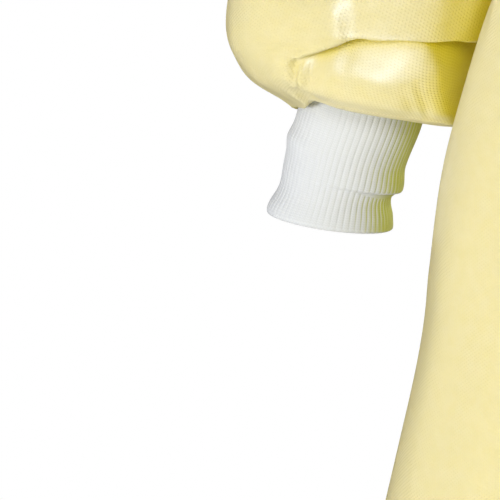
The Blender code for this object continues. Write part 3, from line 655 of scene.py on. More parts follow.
def level_at(z):
    """The level of a height below the armpit."""
    return 1 + (np.asarray(z, float) - ARMPIT_Z) / (HEM_Z - ARMPIT_Z)


print("the belt lies at level", round(float(level_at(BELT_Z)), 3))

# %% [markdown]
# ## From a surface to cloth
#
# Each sheet starts as a fine grid of points. `lengths` measures along its rows and columns,
# and these runs become the UV map, in metres, so a pattern keeps its real size. Creases are
# soft ridges and troughs along short lines, never two alike, and a little noise keeps the
# spaces between them from looking machined. A displaced image could do the same, but a
# crease in a table can be moved by a millimetre.

# %% Grids, lengths and normals


def graded(*runs):
    """Places along one direction: each run is (from, to, step), joined end to end."""
    parts = [np.linspace(a, b, max(2, round(abs(b - a) / step) + 1)) for a, b, step in runs]
    return np.concatenate([parts[0], *(part[1:] for part in parts[1:])])


def lengths(points, axis):
    """Distances along a grid's rows or columns, from its first column or row."""
    steps = np.linalg.norm(np.diff(points, axis=axis), axis=-1)
    return np.concatenate([np.zeros_like(np.take(steps, [0], axis)), np.cumsum(steps, axis)], axis)


def normals_of(points, inside, closed=False):
    """Unit normals of a grid, pointing away from the places inside it."""
    if closed:
        ring = np.concatenate([points[:, -2:-1], points, points[:, 1:2]], axis=1)
        across = ring[:, 2:] - ring[:, :-2]
    else:
        across = np.gradient(points, axis=1)
    normals = unit(np.cross(across, np.gradient(points, axis=0)))
    side = np.sign((normals * (points - inside)).sum(-1).sum())
    return normals * side


def wander(points, size, stretch=(1, 1, 1), seed=0.0):
    """Smooth noise between about -1 and 1 at each point, with lumps of a size in millimetres."""
    at = points.reshape(-1, 3) / (size * np.array(stretch, float)) + seed
    values = [noise.noise(Vector(p)) + 0.5 * noise.noise(Vector(p) * 2.1) for p in at]
    return np.array(values).reshape(points.shape[:-1])


print("a graded run:", graded((0, 2, 1.0), (2, 8, 3.0)).tolist())

# %% Creases and sewn edges
Crease = namedtuple("Crease", "name path width out beside", defaults=[0.4])


def creased(across, down, creases):
    """How far creases lift each place. A crease is a ridge, or a trough where out is negative,
    with a shallower opposite beside it, and it dies away towards both ends of its path."""
    lift = np.zeros(np.broadcast(across, down).shape)
    for crease in creases:
        path = np.array(crease.path, float)
        steps = np.diff(path, axis=0)
        sizes = np.linalg.norm(steps, axis=1)
        starts = np.concatenate([[0], np.cumsum(sizes)])[:-1] / sizes.sum()
        best = np.full(lift.shape, 1e9)
        off, share = np.zeros(lift.shape), np.zeros(lift.shape)
        for (x, y), (dx, dy), size, start in zip(path, steps, sizes, starts):
            t = ((across - x) * dx + (down - y) * dy) / size**2
            near = np.clip(t, 0, 1)
            gap = np.hypot(across - x - near * dx, down - y - near * dy)
            side = np.where((across - x) * dy - (down - y) * dx < 0, -1.0, 1.0)
            closer = gap < best
            best = np.where(closer, gap, best)
            off = np.where(closer, side * gap, off)
            share = np.where(closer, start + near * size / sizes.sum(), share)
        fade = np.sin(math.pi * np.clip(share, 0, 1)) ** 0.7
        shape = bell(off, crease.width)
        shape = shape - crease.beside * bell(off - 2.2 * crease.width, 1.5 * crease.width)
        lift += crease.out * shape * fade
    return lift


SEAM_DEPTH = 0.8  # of the groove that a seam lies in


def sewn_edge(run, gap, height, pitch, drift):
    """How far cloth lifts at a gap from a seam: small puckers along its run, and a groove."""
    pucker = height * np.sin(run / pitch + 2.5 * np.sin(run / drift)) * bell(gap, 5)
    return pucker - SEAM_DEPTH * bell(gap, 1.8)


print("a seam lies", SEAM_DEPTH, "mm deep in the cloth")

# %% Grids into meshes
gown = bpy.data.collections.new("gown_cloth")
bpy.context.scene.collection.children.link(gown)


def add_piece(mesh, finish):
    """An object of a mesh, smooth, in one finish."""
    mesh.shade_smooth()
    mesh.materials.clear()
    mesh.materials.append(finish)
    made = bpy.data.objects.new(mesh.name, mesh)
    gown.objects.link(made)
    return made


def grid_mesh(name, points, flat, normals, closed=False):
    """A mesh of a grid in millimetres, with the flat map in metres as its UV map. In a closed
    grid the last column is the first again."""
    rows, columns = points.shape[:2]
    ring = columns - 1 if closed else columns
    row, column = np.meshgrid(np.arange(rows - 1), np.arange(columns - 1), indexing="ij")
    corners = [(row, column), (row, column + 1), (row + 1, column + 1), (row + 1, column)]
    centre = [points[r, c] for r, c in corners]
    facing = np.cross(centre[1] - centre[0], centre[3] - centre[0])
    if (facing * normals[:-1, :-1]).sum() < 0:
        corners = corners[::-1]
    faces = np.stack([r * ring + c % ring for r, c in corners], axis=-1).reshape(-1, 4)
    mesh = bpy.data.meshes.new(name)
    mesh.from_pydata((points[:, :ring].reshape(-1, 3) * MM).tolist(), [], faces.tolist())
    uv = np.stack([flat[r, c] for r, c in corners], axis=-2).reshape(-1, 2) * MM
    mesh.uv_layers.new(name="flat").data.foreach_set("uv", uv.ravel())
    return mesh


def flat_size(flat):
    """Width, length and area, in metres, of a piece's flat cut."""
    size = (flat.reshape(-1, 2).max(0) - flat.reshape(-1, 2).min(0)) * MM
    du, dv = np.diff(flat, axis=1)[:-1], np.diff(flat, axis=0)[:, :-1]
    area = np.abs(du[..., 0] * dv[..., 1] - du[..., 1] * dv[..., 0]).sum() * MM**2
    return float(size[0]), float(size[1]), float(min(area, size[0] * size[1]))


def cloth(name, points, flat, normals, thickness, finish, closed=False, offset=-1.0):
    """A sheet as a thin closed shell; with offset -1 its thickness goes inwards."""
    made = add_piece(grid_mesh(name, points, flat, normals, closed), finish)
    shell = made.modifiers.new("thickness", "SOLIDIFY")
    shell.thickness = thickness * MM
    shell.offset = offset
    cut = flat_size(flat)
    print(f"{name}: {len(made.data.polygons)} faces, cut {cut[0]:.3f} x {cut[1]:.3f} m")
    return made


print("pieces go into the collection", gown.name)

# %% [markdown]
# ## Front and back panels
#
# The panels hang from the shoulders in long soft folds. Short creases fan out from the
# armpits, the belt and the neck, where the cloth is held. A sewn edge lies in a shallow
# groove with small puckers, because thread is always a little tighter than the cloth.

# %% Creases of the front panel (degrees round the body, millimetres down)
CLOTH_WALL = 0.5  # mm; the real cloth is about 0.3
ROUND = 4.6  # mm of cloth for each degree round the body


def around(*path):
    """A crease's path, given in degrees round the body and millimetres down."""
    return [(angle * ROUND, down) for angle, down in path]


FRONT_CREASES = [
    Crease("armpit_right_upper", around((-103, -262), (-88, -300), (-70, -330)), 5, 4.8),
    Crease("armpit_right_lower", around((-104, -285), (-92, -345), (-82, -430)), 6, 3.9),
    Crease("armpit_right_chest", around((-100, -225), (-80, -232), (-56, -262)), 6, 3.6),
    Crease("armpit_left_upper", around((103, -258), (86, -292), (64, -318)), 6, 4.5),
    Crease("armpit_left_lower", around((104, -282), (94, -352), (88, -450)), 5, 4.2),
    Crease("armpit_left_chest", around((100, -220), (82, -240), (60, -284)), 5, 3.3),
    Crease("shoulder_right", around((-84, -20), (-78, -90), (-70, -170)), 7, 2.7),
    Crease("shoulder_left", around((82, -25), (80, -100), (74, -160)), 6, 3.3),
    Crease("neck_right", around((-34, -12), (-40, -70), (-44, -150)), 6, -2.4),
    Crease("neck_left", around((30, -14), (38, -80), (40, -130)), 5, -2.7),
    Crease("chest_drop_right", around((-38, -190), (-34, -330), (-30, -520)), 9, 3.9),
    Crease("chest_drop_left", around((24, -210), (30, -360), (33, -500)), 9, 3.6),
    Crease("middle_drop", around((-2, -150), (3, -290), (-3, -470)), 10, -3.3),
    Crease("belt_pull_right", around((-104, -400), (-90, -396), (-72, -380)), 5, 3.0),
    Crease("belt_pull_right_low", around((-104, -412), (-92, -430), (-80, -466)), 4, 2.5),
    Crease("belt_pull_left", around((104, -402), (90, -392), (68, -366)), 5, 3.3),
    Crease("belt_pull_left_low", around((104, -414), (90, -440), (82, -490)), 4, 2.4),
    Crease("side_hollow_right", around((-90, -585), (-89, -655), (-88, -725)), 40, -2.4, 0),
    Crease("skirt_crossing_right", around((-62, -560), (-44, -610), (-30, -690)), 7, 2.8),
    Crease("skirt_crossing_left", around((50, -620), (32, -668), (20, -760)), 7, 3.9),
    Crease("skirt_drop_right", around((-16, -640), (-19, -860), (-16, -1120)), 8, 5.4),
    Crease("skirt_drop_middle", around((7, -700), (5, -900), (8, -1130)), 6, 4.8),
    Crease("skirt_drop_left", around((46, -740), (48, -930), (45, -1135)), 7, 5.1),
    Crease("skirt_kink_left", around((70, -820), (54, -860), (44, -930)), 6, 3.0),
    Crease("skirt_kink_right", around((-60, -900), (-46, -930), (-38, -1010)), 6, 3.3),
    Crease("hem_right", around((-40, -1000), (-39, -1080), (-41, -1148)), 5, 3.6),
    Crease("hem_left", around((26, -1020), (24, -1090), (26, -1148)), 5, 3.3),
]
print(len(FRONT_CREASES), "creases in front")

# %% Creases of the back panels
BACK_CREASES = [
    Crease("armpit_left_upper", around((107, -262), (122, -300), (138, -322)), 5, 4.5),
    Crease("armpit_left_lower", around((106, -290), (118, -340), (126, -392)), 5, 3.3),
    Crease("shoulder_blade_left", around((112, -180), (134, -205), (156, -262)), 7, 3.6),
    Crease("armpit_right_upper", around((253, -262), (240, -306), (222, -330)), 5, 4.5),
    Crease("armpit_right_lower", around((254, -292), (243, -350), (236, -394)), 5, 3.6),
    Crease("shoulder_blade_right", around((248, -170), (224, -210), (206, -280)), 7, 3.9),
    Crease("neck_drop_left", around((150, -14), (156, -90), (160, -210)), 6, 2.7),
    Crease("neck_drop_right", around((212, -14), (206, -100), (204, -220)), 6, 2.4),
    Crease("lap_pull", around((168, -120), (180, -230), (176, -360)), 6, 2.7),
    Crease("skirt_drop_left", around((128, -560), (131, -820), (128, -1130)), 7, 5.1),
    Crease("skirt_drop_middle", around((172, -620), (170, -860), (173, -1135)), 6, 4.2),
    Crease("skirt_drop_right", around((228, -580), (226, -800), (229, -1120)), 7, 4.8),
    Crease("skirt_crossing_left", around((118, -700), (134, -752), (150, -860)), 6, 3.6),
    Crease("skirt_crossing_right", around((244, -760), (226, -810), (212, -900)), 6, 3.6),
    Crease("hem_left", around((152, -1010), (153, -1080), (151, -1148)), 5, 3.3),
    Crease("hem_right", around((206, -990), (207, -1080), (205, -1148)), 5, 3.6),
]
BELT_PLEATS = [108, 116, 121, 129, 136, 141, 150, 158, 201, 209, 214, 222, 230, 236, 243, 251]
for count, angle in enumerate(BELT_PLEATS):
    lean = 3 * math.sin(2.3 * count)
    high, low = 46 + 14 * math.sin(1.7 * count), 60 + 22 * math.cos(2.9 * count)
    out = 2.7 + 0.9 * math.sin(3.1 * count)
    above = around((angle, BELT_Z + 14), (angle + lean, BELT_Z + 16 + high))
    below = around((angle, BELT_Z - 14), (angle - lean, BELT_Z - 16 - low))
    BACK_CREASES += [
        Crease("pleat_above", above, 3.6, out), Crease("pleat_below", below, 4.0, out),
    ]
print(len(BACK_CREASES), "creases behind,", 2 * len(BELT_PLEATS), "of them pleats at the belt")

# %% A panel's cloth
LAP_END = 0.14  # how far past the centre back a back panel runs, as a place across it


def free_places(across, levels, degrees, down):
    """1 where a panel's cloth is free to crease, and 0 under the belt and at the neck's edge."""
    behind = ease(np.abs(turned(degrees, 0)), 95, 106)
    free = 1 - behind * (1 - ease(np.abs(down - BELT_Z), 15, 30))
    at_neck = (np.abs(across)[None, :] < NECK_SHARE + 0.05) & (levels[:, None] < 0.3)
    return free * np.where(at_neck, ease(levels[:, None] + 0 * across, 0.05, 0.16), 1)


def panel_cloth(across, facing, outer_lap, creases):
    """A panel's points, flat map and normals, with its creases, seams and unevenness."""
    levels = graded((0, 0.02, 0.004), (0.02, 1, 0.022), (1, 2, 0.0064))
    points = panel(across[None, :], levels[:, None], facing, outer_lap)
    axis = points * [0, 0, 1]
    axis[..., 2] = np.minimum(axis[..., 2], -60)
    normals = normals_of(points, axis)
    degrees = panel_angle(across[None, :], facing)
    below = ARMPIT_Z + (HEM_Z - ARMPIT_Z) * (levels - 1)
    down = np.where(levels < 1, ARMPIT_Z * levels, below)[:, None]
    lift = creased(degrees * ROUND, down, creases)
    skirt = ease(-down, 420, 700)
    lift += 1.5 * (1 - 0.3 * skirt) * wander(points, 70, (1, 1, 1.8), 3.0)
    lift += 2.2 * skirt * wander(points, 60, (1, 1, 5), 11.0)
    free = free_places(across, levels, degrees, down)
    for end in (0, -1):
        if abs(across[end]) == 1:
            seam = points[:, :1] if end == 0 else points[:, -1:]
            gap = np.linalg.norm(points - seam, axis=-1)
            free = free * ease(gap, 0, 26)
            run = lengths(points, 0)[:, end][:, None]
            sewn = sewn_edge(run, gap, 0.28, 1.75, 37)
            lift += sewn / np.maximum(free, 1e-3) * (free > 1e-3)
    shoulder = (np.abs(across)[None, :] > NECK_SHARE) * np.ones_like(levels[:, None])
    free = free * np.where(shoulder > 0, ease(levels[:, None], 0, 0.08), 1)
    points = points + (lift * free)[..., None] * normals
    middle = int(np.argmin(np.abs(across)))
    u = lengths(points, 1)
    u = u - u[:, middle:middle + 1]
    v = lengths(points, 0)
    v = -(v - v[int(np.argmin(np.abs(levels - 1)))][None, :])
    return points, np.stack([u, v], axis=-1), normals_of(points, axis)


print("a back panel runs", round(LAP_END * (180 - SIDE_SEAM) * ROUND), "mm past the centre back")

# %% The three panels
side_edge = graded((0.95, 0.985, 0.006), (0.985, 1, 0.0025))
front_across = np.concatenate([-side_edge[::-1], graded((-0.95, 0.95, 0.0145))[1:-1], side_edge])
back_across = graded((-LAP_END, 0.95, 0.0155), (0.95, 0.985, 0.007), (0.985, 1, 0.003))
front_points, front_flat, front_normals = panel_cloth(front_across, 1, False, FRONT_CREASES)
left_points, left_flat, left_normals = panel_cloth(back_across, -1, True, BACK_CREASES)
right_points, right_flat, right_normals = panel_cloth(
    -back_across[::-1], -1, False, BACK_CREASES)
front = cloth("front_panel_cloth", front_points, front_flat, front_normals,
              CLOTH_WALL, yellow_cloth)
back_left = cloth("back_panel_left_cloth", left_points, left_flat, left_normals,
                  CLOTH_WALL, yellow_cloth)
back_right = cloth("back_panel_right_cloth", right_points, right_flat, right_normals,
                   CLOTH_WALL, yellow_cloth)

# %% [markdown]
# ## Sleeves
#
# A sleeve is one tube that blouses over its tight cuff. Where the cloth bunches at the
# forearm, it hangs over itself in a lip, and the lip's end pinches into a Y. The lip is the
# main form here, so it has a table of its own: for each angle round the sleeve, how far down
# it lies, how strong it is and how soon the cloth below it swells out again. Beside it the
# cloth lies flat in a hollow, and the rim below rises and falls with the pleats. The cuff's
# surface is worked out here too, because the sleeve's end is turned in against it.

# %% The tube and its tucks
Ring = namedtuple("Ring", "along lat_out lat_z med_out med_z y lean front back")
SLEEVE_RINGS = [
    Ring(0, 212, -55, 202, -255, 10, 0, 66, 64),
    Ring(14, 231, -64, 211, -256, 11, 0, 67, 65),
    Ring(32, 253, -84, 216, -265, 13, 0, 67, 66),
    Ring(75, 287, -142, 217, -285, 20, 2, 65, 64),
    Ring(125, 307, -210, 212, -312, 30, 4, 61, 60),
    Ring(185, 317, -297, 207, -346, 38, 6, 58, 56),
    Ring(240, 327, -366, 216, -402, 44, 7, 56, 54),
    Ring(285, 343, -415, 225, -446, 47, 7, 57, 54),
    Ring(325, 362, -460, 231, -482, 49, 7, 59, 54),
    Ring(348, 361.5, -488, 236, -504, 49.5, 3, 54, 51),
    Ring(360, 352, -504, 240, -515, 50, -2, 45, 43),
    Ring(370, 337.5, -515, 247, -522, 51, -7, 33, 32),
]
Tuck = namedtuple("Tuck", "name angle spread along width out sag dip")
RIGHT_TUCKS = [
    Tuck("forearm_roll", 60, 75, 292, 11, 4.0, 7, -10),
    Tuck("elbow_roll", 150, 80, 232, 13, 5.0, 6, 12),
    Tuck("elbow_back_roll", 285, 60, 214, 14, 4.5, 5, 0),
    Tuck("upper_roll", 195, 70, 165, 15, 4.5, 5, 10),
    Tuck("back_overhang", 262, 50, 322, 9, 4.5, 9, 4),
]
LEFT_TUCKS = [
    Tuck("forearm_roll", 150, 70, 284, 11, 4.5, 7, 8),
    Tuck("elbow_roll", 110, 75, 226, 13, 5.0, 6, -10),
    Tuck("elbow_back_roll", 270, 60, 240, 14, 4.5, 5, 0),
    Tuck("upper_roll", 170, 75, 158, 15, 4.5, 5, 10),
    Tuck("back_overhang", 235, 55, 334, 9, 4.5, 9, -4),
]
LAST = SLEEVE_RINGS[-1].along
print("a sleeve is", LAST, "mm long, from the armhole to the rim over the cuff")

# %% The lip
LIP_SAG = 13.0  # how far the lip hangs down over itself
LIP_WIDTH = 4.2  # of the band along the sleeve that hangs
Lip = namedtuple("Lip", "angle along strength recover back out")
RIGHT_LIP = [
    Lip(40, 348, 0.0, 8, 5, 0),
    Lip(52, 341, 0.05, 8, 6, 0.3),
    Lip(60, 335, 0.22, 9, 8, 0.8),
    Lip(67.5, 326.5, 0.5, 12, 10, 1.3),
    Lip(75, 317, 0.82, 17, 10.5, 1.7),
    Lip(79, 312.5, 0.97, 22, 10.5, 1.9),
    Lip(92, 309.0, 1.0, 28, 8.0, 2.2),
    Lip(104, 306.5, 1.0, 31, 5.5, 2.4),
    Lip(110, 306.0, 1.0, 31, 5.5, 2.4),
    Lip(118, 305, 1.0, 30, 7, 2.4),
    Lip(130, 304.4, 1.0, 30, 8, 2.4),
    Lip(150, 305, 0.95, 28, 8, 2.2),
    Lip(175, 308, 0.6, 22, 6, 1.2),
    Lip(200, 313, 0.0, 16, 5, 0),
]
LEFT_LIP = [
    Lip(22, 334, 0.0, 9, 5, 0),
    Lip(38, 330, 0.35, 11, 6, 0.8),
    Lip(56, 322, 0.85, 16, 7, 2.0),
    Lip(80, 316, 1.0, 22, 7, 2.6),
    Lip(104, 318, 1.0, 24, 6, 2.6),
    Lip(126, 324, 0.75, 18, 6, 1.6),
    Lip(146, 333, 0.3, 12, 5, 0.6),
    Lip(162, 338, 0.0, 9, 5, 0),
]
print("the lip runs from", RIGHT_LIP[0].angle, "to", RIGHT_LIP[-1].angle, "degrees round")

# %% The flat hollow and the rim
FACET_END = 186.0  # degrees round the sleeve where the flat hollow ends
Facet = namedtuple("Facet", "along edge depth")
RIGHT_FACET = [
    Facet(270, 126, 0.0),
    Facet(290, 124, 2.5),
    Facet(300, 122, 3.5),
    Facet(308, 120, 4.5),
    Facet(315, 112, 7.5),
    Facet(321, 110, 10.0),
    Facet(329, 114, 10.5),
    Facet(337, 117.5, 10.5),
    Facet(347, 118, 10.0),
    Facet(358, 117, 8.5),
    Facet(370, 116, 6.0),
]
LEFT_FACET = [
    Facet(280, 132, 0.0),
    Facet(315, 128, 5.0),
    Facet(350, 126, 6.0),
    Facet(370, 124, 4.0),
]
Rim = namedtuple("Rim", "angle up inward", defaults=[0.0])
RIGHT_RIM = [
    Rim(0, 0, 4.5), Rim(20, 0, 4.5), Rim(36, 0, 2.5), Rim(43, 1.6, 1), Rim(49, 4.2),
    Rim(58, 4.0), Rim(72, 1.1), Rim(92, -1.1), Rim(106, -2.0), Rim(118, -2.9), Rim(150, -2.0),
    Rim(190, 0.8), Rim(240, -0.6), Rim(290, 1.2), Rim(330, -0.4, 2.5), Rim(360, 0, 4.5),
]
LEFT_RIM = [
    Rim(0, 0), Rim(40, 1.4), Rim(75, -0.6), Rim(110, 1.0), Rim(160, -0.8),
    Rim(210, 1.0), Rim(270, -0.6), Rim(320, 0.9), Rim(360, 0),
]
print("the flat hollow is up to", max(row.depth for row in RIGHT_FACET), "mm deep")

# %% The cuff's surface
CUFF_WALL = 1.6
RIBS = 60
RIB_ROOM = 0.8  # kept free for the ribs between cuff and sleeve
CUFF_CLEAR = 0.5
Course = namedtuple("Course", "along out y z tilt lean half_width half_depth")
CUFF_COURSES = [
    Course(0, 296.8, 49.5, -500.0, 16, 6, 28.2, 23.4),
    Course(20, 302.2, 51.2, -519.2, 14, 6, 28.1, 23.4),
    Course(36, 307.3, 52.6, -534.6, 13, 6, 27.2, 22.6),
    Course(49, 310.6, 53.8, -547.0, 12, 6, 26.9, 22.2),
    Course(59, 313.0, 54.5, -556.2, 10, 6, 26.4, 22.0),
    Course(70, 315.5, 55.4, -567.0, 7.5, 6, 29.0, 23.6),
]
STEP_ANGLE, STEP_SPREAD = 164, 44  # degrees; on this side the cuff steps in
STEP_ALONG, STEP_SHARPNESS = 50.6, 0.8
STEP_OUT, STEP_IN = 1.9, 1.9
Ruck = namedtuple("Ruck", "name angle spread along width out")
CUFF_RUCKS = [
    Ruck("lateral_bead", 8, 26, 36, 3.2, 1.6),
    Ruck("back_roll", 285, 40, 44, 5.0, 1.2),
    Ruck("lateral_corner", 4, 24, 67, 3.4, 1.3),
]


def cuff(side, angle, along, lift):
    """A cuff's surface, lift outside its plain inner face."""
    angle, along = np.broadcast_arrays(np.asarray(angle, float), np.asarray(along, float))
    at = {name: smooth(CUFF_COURSES, name, along) for name in Course._fields[1:]}
    turn, tilt, lean = np.radians(angle), np.radians(at["tilt"]), np.radians(at["lean"])
    middle = stack(side * at["out"], at["y"], at["z"])
    lateral = stack(side * np.cos(tilt), 0 * tilt, np.sin(tilt))
    front = stack(0 * lean, -np.cos(lean), -np.sin(lean))
    ruck = sum(
        r.out * bell(turned(angle, r.angle), r.spread) * bell(along - r.along, r.width)
        for r in CUFF_RUCKS
    )
    passed = ease(along, STEP_ALONG - STEP_SHARPNESS, STEP_ALONG + STEP_SHARPNESS)
    before = ease(along, STEP_ALONG - 13, STEP_ALONG - 2) * (1 - passed)
    after = passed * (1 - ease(along, STEP_ALONG + 4, STEP_ALONG + 14))
    step = (STEP_OUT * before - STEP_IN * after) * bell(turned(angle, STEP_ANGLE), STEP_SPREAD)
    grow = lift - CUFF_WALL + ruck + step
    wide = ((at["half_width"] + grow) * np.cos(turn))[..., None] * lateral
    deep = ((at["half_depth"] + grow) * np.sin(turn))[..., None] * front
    return middle + wide + deep


print("a cuff is", CUFF_COURSES[-1].along, "mm long and", 2 * CUFF_COURSES[0].half_width, "mm wide")

# %% Creases of the right sleeve (degrees round the sleeve, millimetres along)
ROUND_SLEEVE = 1.05  # mm of cloth for each degree round the sleeve


def across_sleeve(*path):
    """A crease's path, given in degrees round the sleeve and millimetres along it."""
    return [(angle * ROUND_SLEEVE, along) for angle, along in path]


LIP_CREASES = [
    Crease("pinch_stem", across_sleeve((60, 338), (58.8, 345), (57, 351), (54, 360)), 1.5, -3.4),
    Crease("pinch_right_rim", across_sleeve((62.5, 340), (61.5, 347), (59, 356)), 2.4, 1.6),
    Crease("pinch_left_cheek", across_sleeve((50, 336), (52, 346), (50, 356)), 5, 0.9),
    Crease("lip_rim", across_sleeve((61, 333), (68, 328), (76, 320), (84, 315)), 2.4, 1.3),
    Crease("soft_bend", across_sleeve((72, 300), (77, 306), (82, 310.5), (87, 313)), 3.0, -0.4),
    Crease("bend_hollow", across_sleeve((76, 298), (75.5, 308), (75, 316)), 3.4, -0.9),
    Crease("bulge_crest", across_sleeve((68, 341), (80, 346), (100, 350), (112, 352)), 9.5, 2.6),
    Crease("lit_edge", across_sleeve((110, 326), (114, 337), (114.5, 350), (113, 366)), 4.5, 0.9),
    Crease("rim_pleat_a", across_sleeve((103, 346), (104, 358), (103, 371)), 1.6, -0.5),
    Crease("rim_pleat_b", across_sleeve((109, 342), (109.5, 356), (108, 371)), 1.5, -0.7),
    Crease("rim_notch", across_sleeve((53, 360), (56, 366), (58, 373)), 2.6, -1.6),
    Crease("rim_notch_side", across_sleeve((44, 362), (45, 368), (46, 373)), 3.0, 0.8),
    Crease("upper_side_shade", across_sleeve((118, 280), (122, 296), (121, 312)), 5, -2.0),
    Crease("cheek_slope", across_sleeve((-34, 362), (4, 364), (22, 366), (34, 369), (42, 373)),
           6.0, -0.8, 0),
    Crease("cheek_upper", across_sleeve((20, 318), (34, 322), (48, 330)), 9, 0.8),
    Crease("forearm_diagonal", across_sleeve((14, 262), (40, 280), (66, 288)), 8, 0.7),
    Crease("forearm_hollow", across_sleeve((64, 272), (92, 280), (122, 276)), 6, -2.0),
]
UPPER_CREASES = [
    Crease("inner_elbow_a", across_sleeve((84, 222), (120, 232), (160, 226)), 5, 4.5),
    Crease("inner_elbow_b", across_sleeve((96, 196), (128, 206), (158, 204)), 5, 3.9),
    Crease("inner_elbow_c", across_sleeve((70, 248), (104, 252), (140, 246)), 5, 3.3),
    Crease("upper_diagonal", across_sleeve((36, 110), (66, 150), (96, 178)), 8, 3.6),
    Crease("armpit_fan_a", across_sleeve((120, 16), (112, 60), (92, 104)), 6, 4.2),
    Crease("armpit_fan_b", across_sleeve((150, 22), (146, 70), (134, 112)), 6, 3.9),
    Crease("armpit_fan_c", across_sleeve((212, 20), (222, 64), (238, 108)), 6, 3.9),
    Crease("cap_front", across_sleeve((36, 6), (44, 50), (46, 98)), 6, 2.4),
    Crease("back_elbow_a", across_sleeve((240, 200), (272, 214), (306, 206)), 6, 3.9),
    Crease("back_elbow_b", across_sleeve((250, 238), (284, 246), (318, 240)), 5, 3.3),
    Crease("back_forearm", across_sleeve((232, 284), (262, 298), (300, 302)), 6, 3.3),
    Crease("back_blouse_a", across_sleeve((228, 330), (236, 348), (240, 368)), 4, 1.6),
    Crease("back_blouse_b", across_sleeve((286, 334), (290, 350), (288, 369)), 4, 1.8),
    Crease("back_blouse_c", across_sleeve((322, 338), (326, 352), (324, 369)), 4, 1.2),
]
RIGHT_CREASES = LIP_CREASES + UPPER_CREASES
print(len(LIP_CREASES), "creases at the lip and", len(UPPER_CREASES), "above and behind it")

# %% Creases of the left sleeve


def mirrored_creases(creases, swing, shift, share):
    """Creases like the given ones, turned and moved, for a hidden side."""
    made = []
    for count, crease in enumerate(creases):
        sway = (swing + 7 * math.sin(1.9 * count)) * ROUND_SLEEVE
        slide = shift * math.sin(1.3 * count)
        path = [(across + sway, along + slide) for across, along in crease.path]
        made.append(crease._replace(path=path, width=crease.width * share))
    return made


LEFT_CREASES = mirrored_creases(UPPER_CREASES, 9, 6, 1.05) + [
    Crease("pinch_stem", across_sleeve((31, 334), (29, 344), (32, 356)), 1.8, -1.5),
    Crease("pinch_rim", across_sleeve((36, 335), (35, 346), (37, 355)), 2.6, 1.0),
    Crease("bulge_crest", across_sleeve((50, 344), (72, 349), (100, 350), (124, 352)), 5, 1.6),
    Crease("lip_end", across_sleeve((140, 328), (152, 336), (160, 350)), 2.4, -1.3),
    Crease("rim_pleat_a", across_sleeve((74, 346), (76, 358), (75, 371)), 1.8, -0.8),
    Crease("rim_pleat_b", across_sleeve((112, 344), (113, 358), (115, 371)), 1.8, -0.9),
]
print(len(LEFT_CREASES), "creases on the left sleeve")

# %% [markdown]
# ### From a tube to a bloused sleeve
#
# The tube alone looks like a pipe. Each function here takes its points and moves them along
# two directions, out of the sleeve and down it: rolls above elbow and wrist, the lip, the flat
# hollow, the full front of the foot, the gathers, and last the turn up against the cuff.

# %% Tube, rolls and lip


def tube(side, angle, along):
    """The sleeve's plain tube, with the directions out of it and down it."""
    at = {name: smooth(SLEEVE_RINGS, name, along) for name in Ring._fields[1:]}
    lateral = stack(side * at["lat_out"], at["y"], at["lat_z"])
    medial = stack(side * at["med_out"], at["y"], at["med_z"])
    lean = np.radians(at["lean"])
    forward = stack(0 * lean, -np.cos(lean), -np.sin(lean))
    turn = np.radians(angle)
    depth = np.where(np.sin(turn) >= 0, at["front"], at["back"]) * np.sin(turn)
    spoke = (lateral - medial) / 2 * np.cos(turn)[..., None] + depth[..., None] * forward
    down = np.cross(lateral - medial, forward)
    down *= np.where(down[..., 2:3] > 0, -1.0, 1.0)
    return (lateral + medial) / 2 + spoke, unit(spoke), unit(down)


def rolled(points, angle, along, outward, down, tucks):
    """Rolls: above each tuck the cloth hangs out, and a little over the cloth below."""
    for tuck in tucks:
        away = turned(angle, tuck.angle)
        strength = bell(away, tuck.spread * 0.55)
        centre = tuck.along + tuck.dip * ease(-away, 0.35 * tuck.spread, tuck.spread)
        u = (along - centre) / tuck.width
        out = -tuck.out * strength * u * np.exp(0.5 - 0.5 * u**2)
        sag = tuck.sag * strength * bell(u, 1)
        points = points + out[..., None] * outward + sag[..., None] * down
    return points


def lipped(points, angle, along, outward, down, lip):
    """The lip: cloth that stands out, hangs down over itself, and goes back in below."""
    strength = np.clip(smooth(lip, "strength", angle % 360), 0, 1)
    u = along - smooth(lip, "along", angle % 360)
    recover = smooth(lip, "recover", angle % 360)
    inner = ease(u, 2, 8)
    out = smooth(lip, "out", angle % 360) * bell(np.minimum(u - 2, 0), 24) * (1 - inner)
    back = smooth(lip, "back", angle % 360)
    out = out - strength * back * inner * bell(np.maximum(u - 8, 0), recover / 1.6)
    sag = LIP_SAG * bell(u - 2.5, LIP_WIDTH * (0.55 + 0.45 * strength))
    return points + out[..., None] * outward + (strength * sag)[..., None] * down


print("the sleeve's tube, rolls and lip are ready")

# %% Flat hollow, apron, gathers and foot
TURN_IN = 16.0  # length of the sleeve's end that is turned in against the cuff
ROLL_UNDER = 7.0  # mm over which the sleeve's foot turns up against the cuff
GATHERS = 15
GATHER_HEIGHT = 2.2
APRON_TOP = 344.0  # mm along, from where the front of the foot stands off the cuff
APRON_EASE = 0.26  # share of the apron's length over which it sets in
CORNER, CORNER_SPREAD = 0.45, 42  # share of the hollow's depth, and degrees


def hollowed(points, angle, along, outward, facet):
    """The flat hollow, with a raised corner along its nearer edge."""
    edge = smooth(facet, "edge", along)
    depth = smooth(facet, "depth", along)
    t = (angle % 360 - edge) / (FACET_END - edge)
    corner = CORNER * np.clip(1 + (angle % 360 - edge) / CORNER_SPREAD, 0, 1) ** 1.3 * (t < 0)
    corner = np.where(t < 0, corner, CORNER * (1 - ease(t, 0, 0.9)))
    hollow = 0.5 * (t + np.sqrt(t * t + 0.03**2)) * (1 - ease(t, 0.75, 1))
    return points + (depth * (corner - 4 * hollow * (1 - hollow)))[..., None] * outward


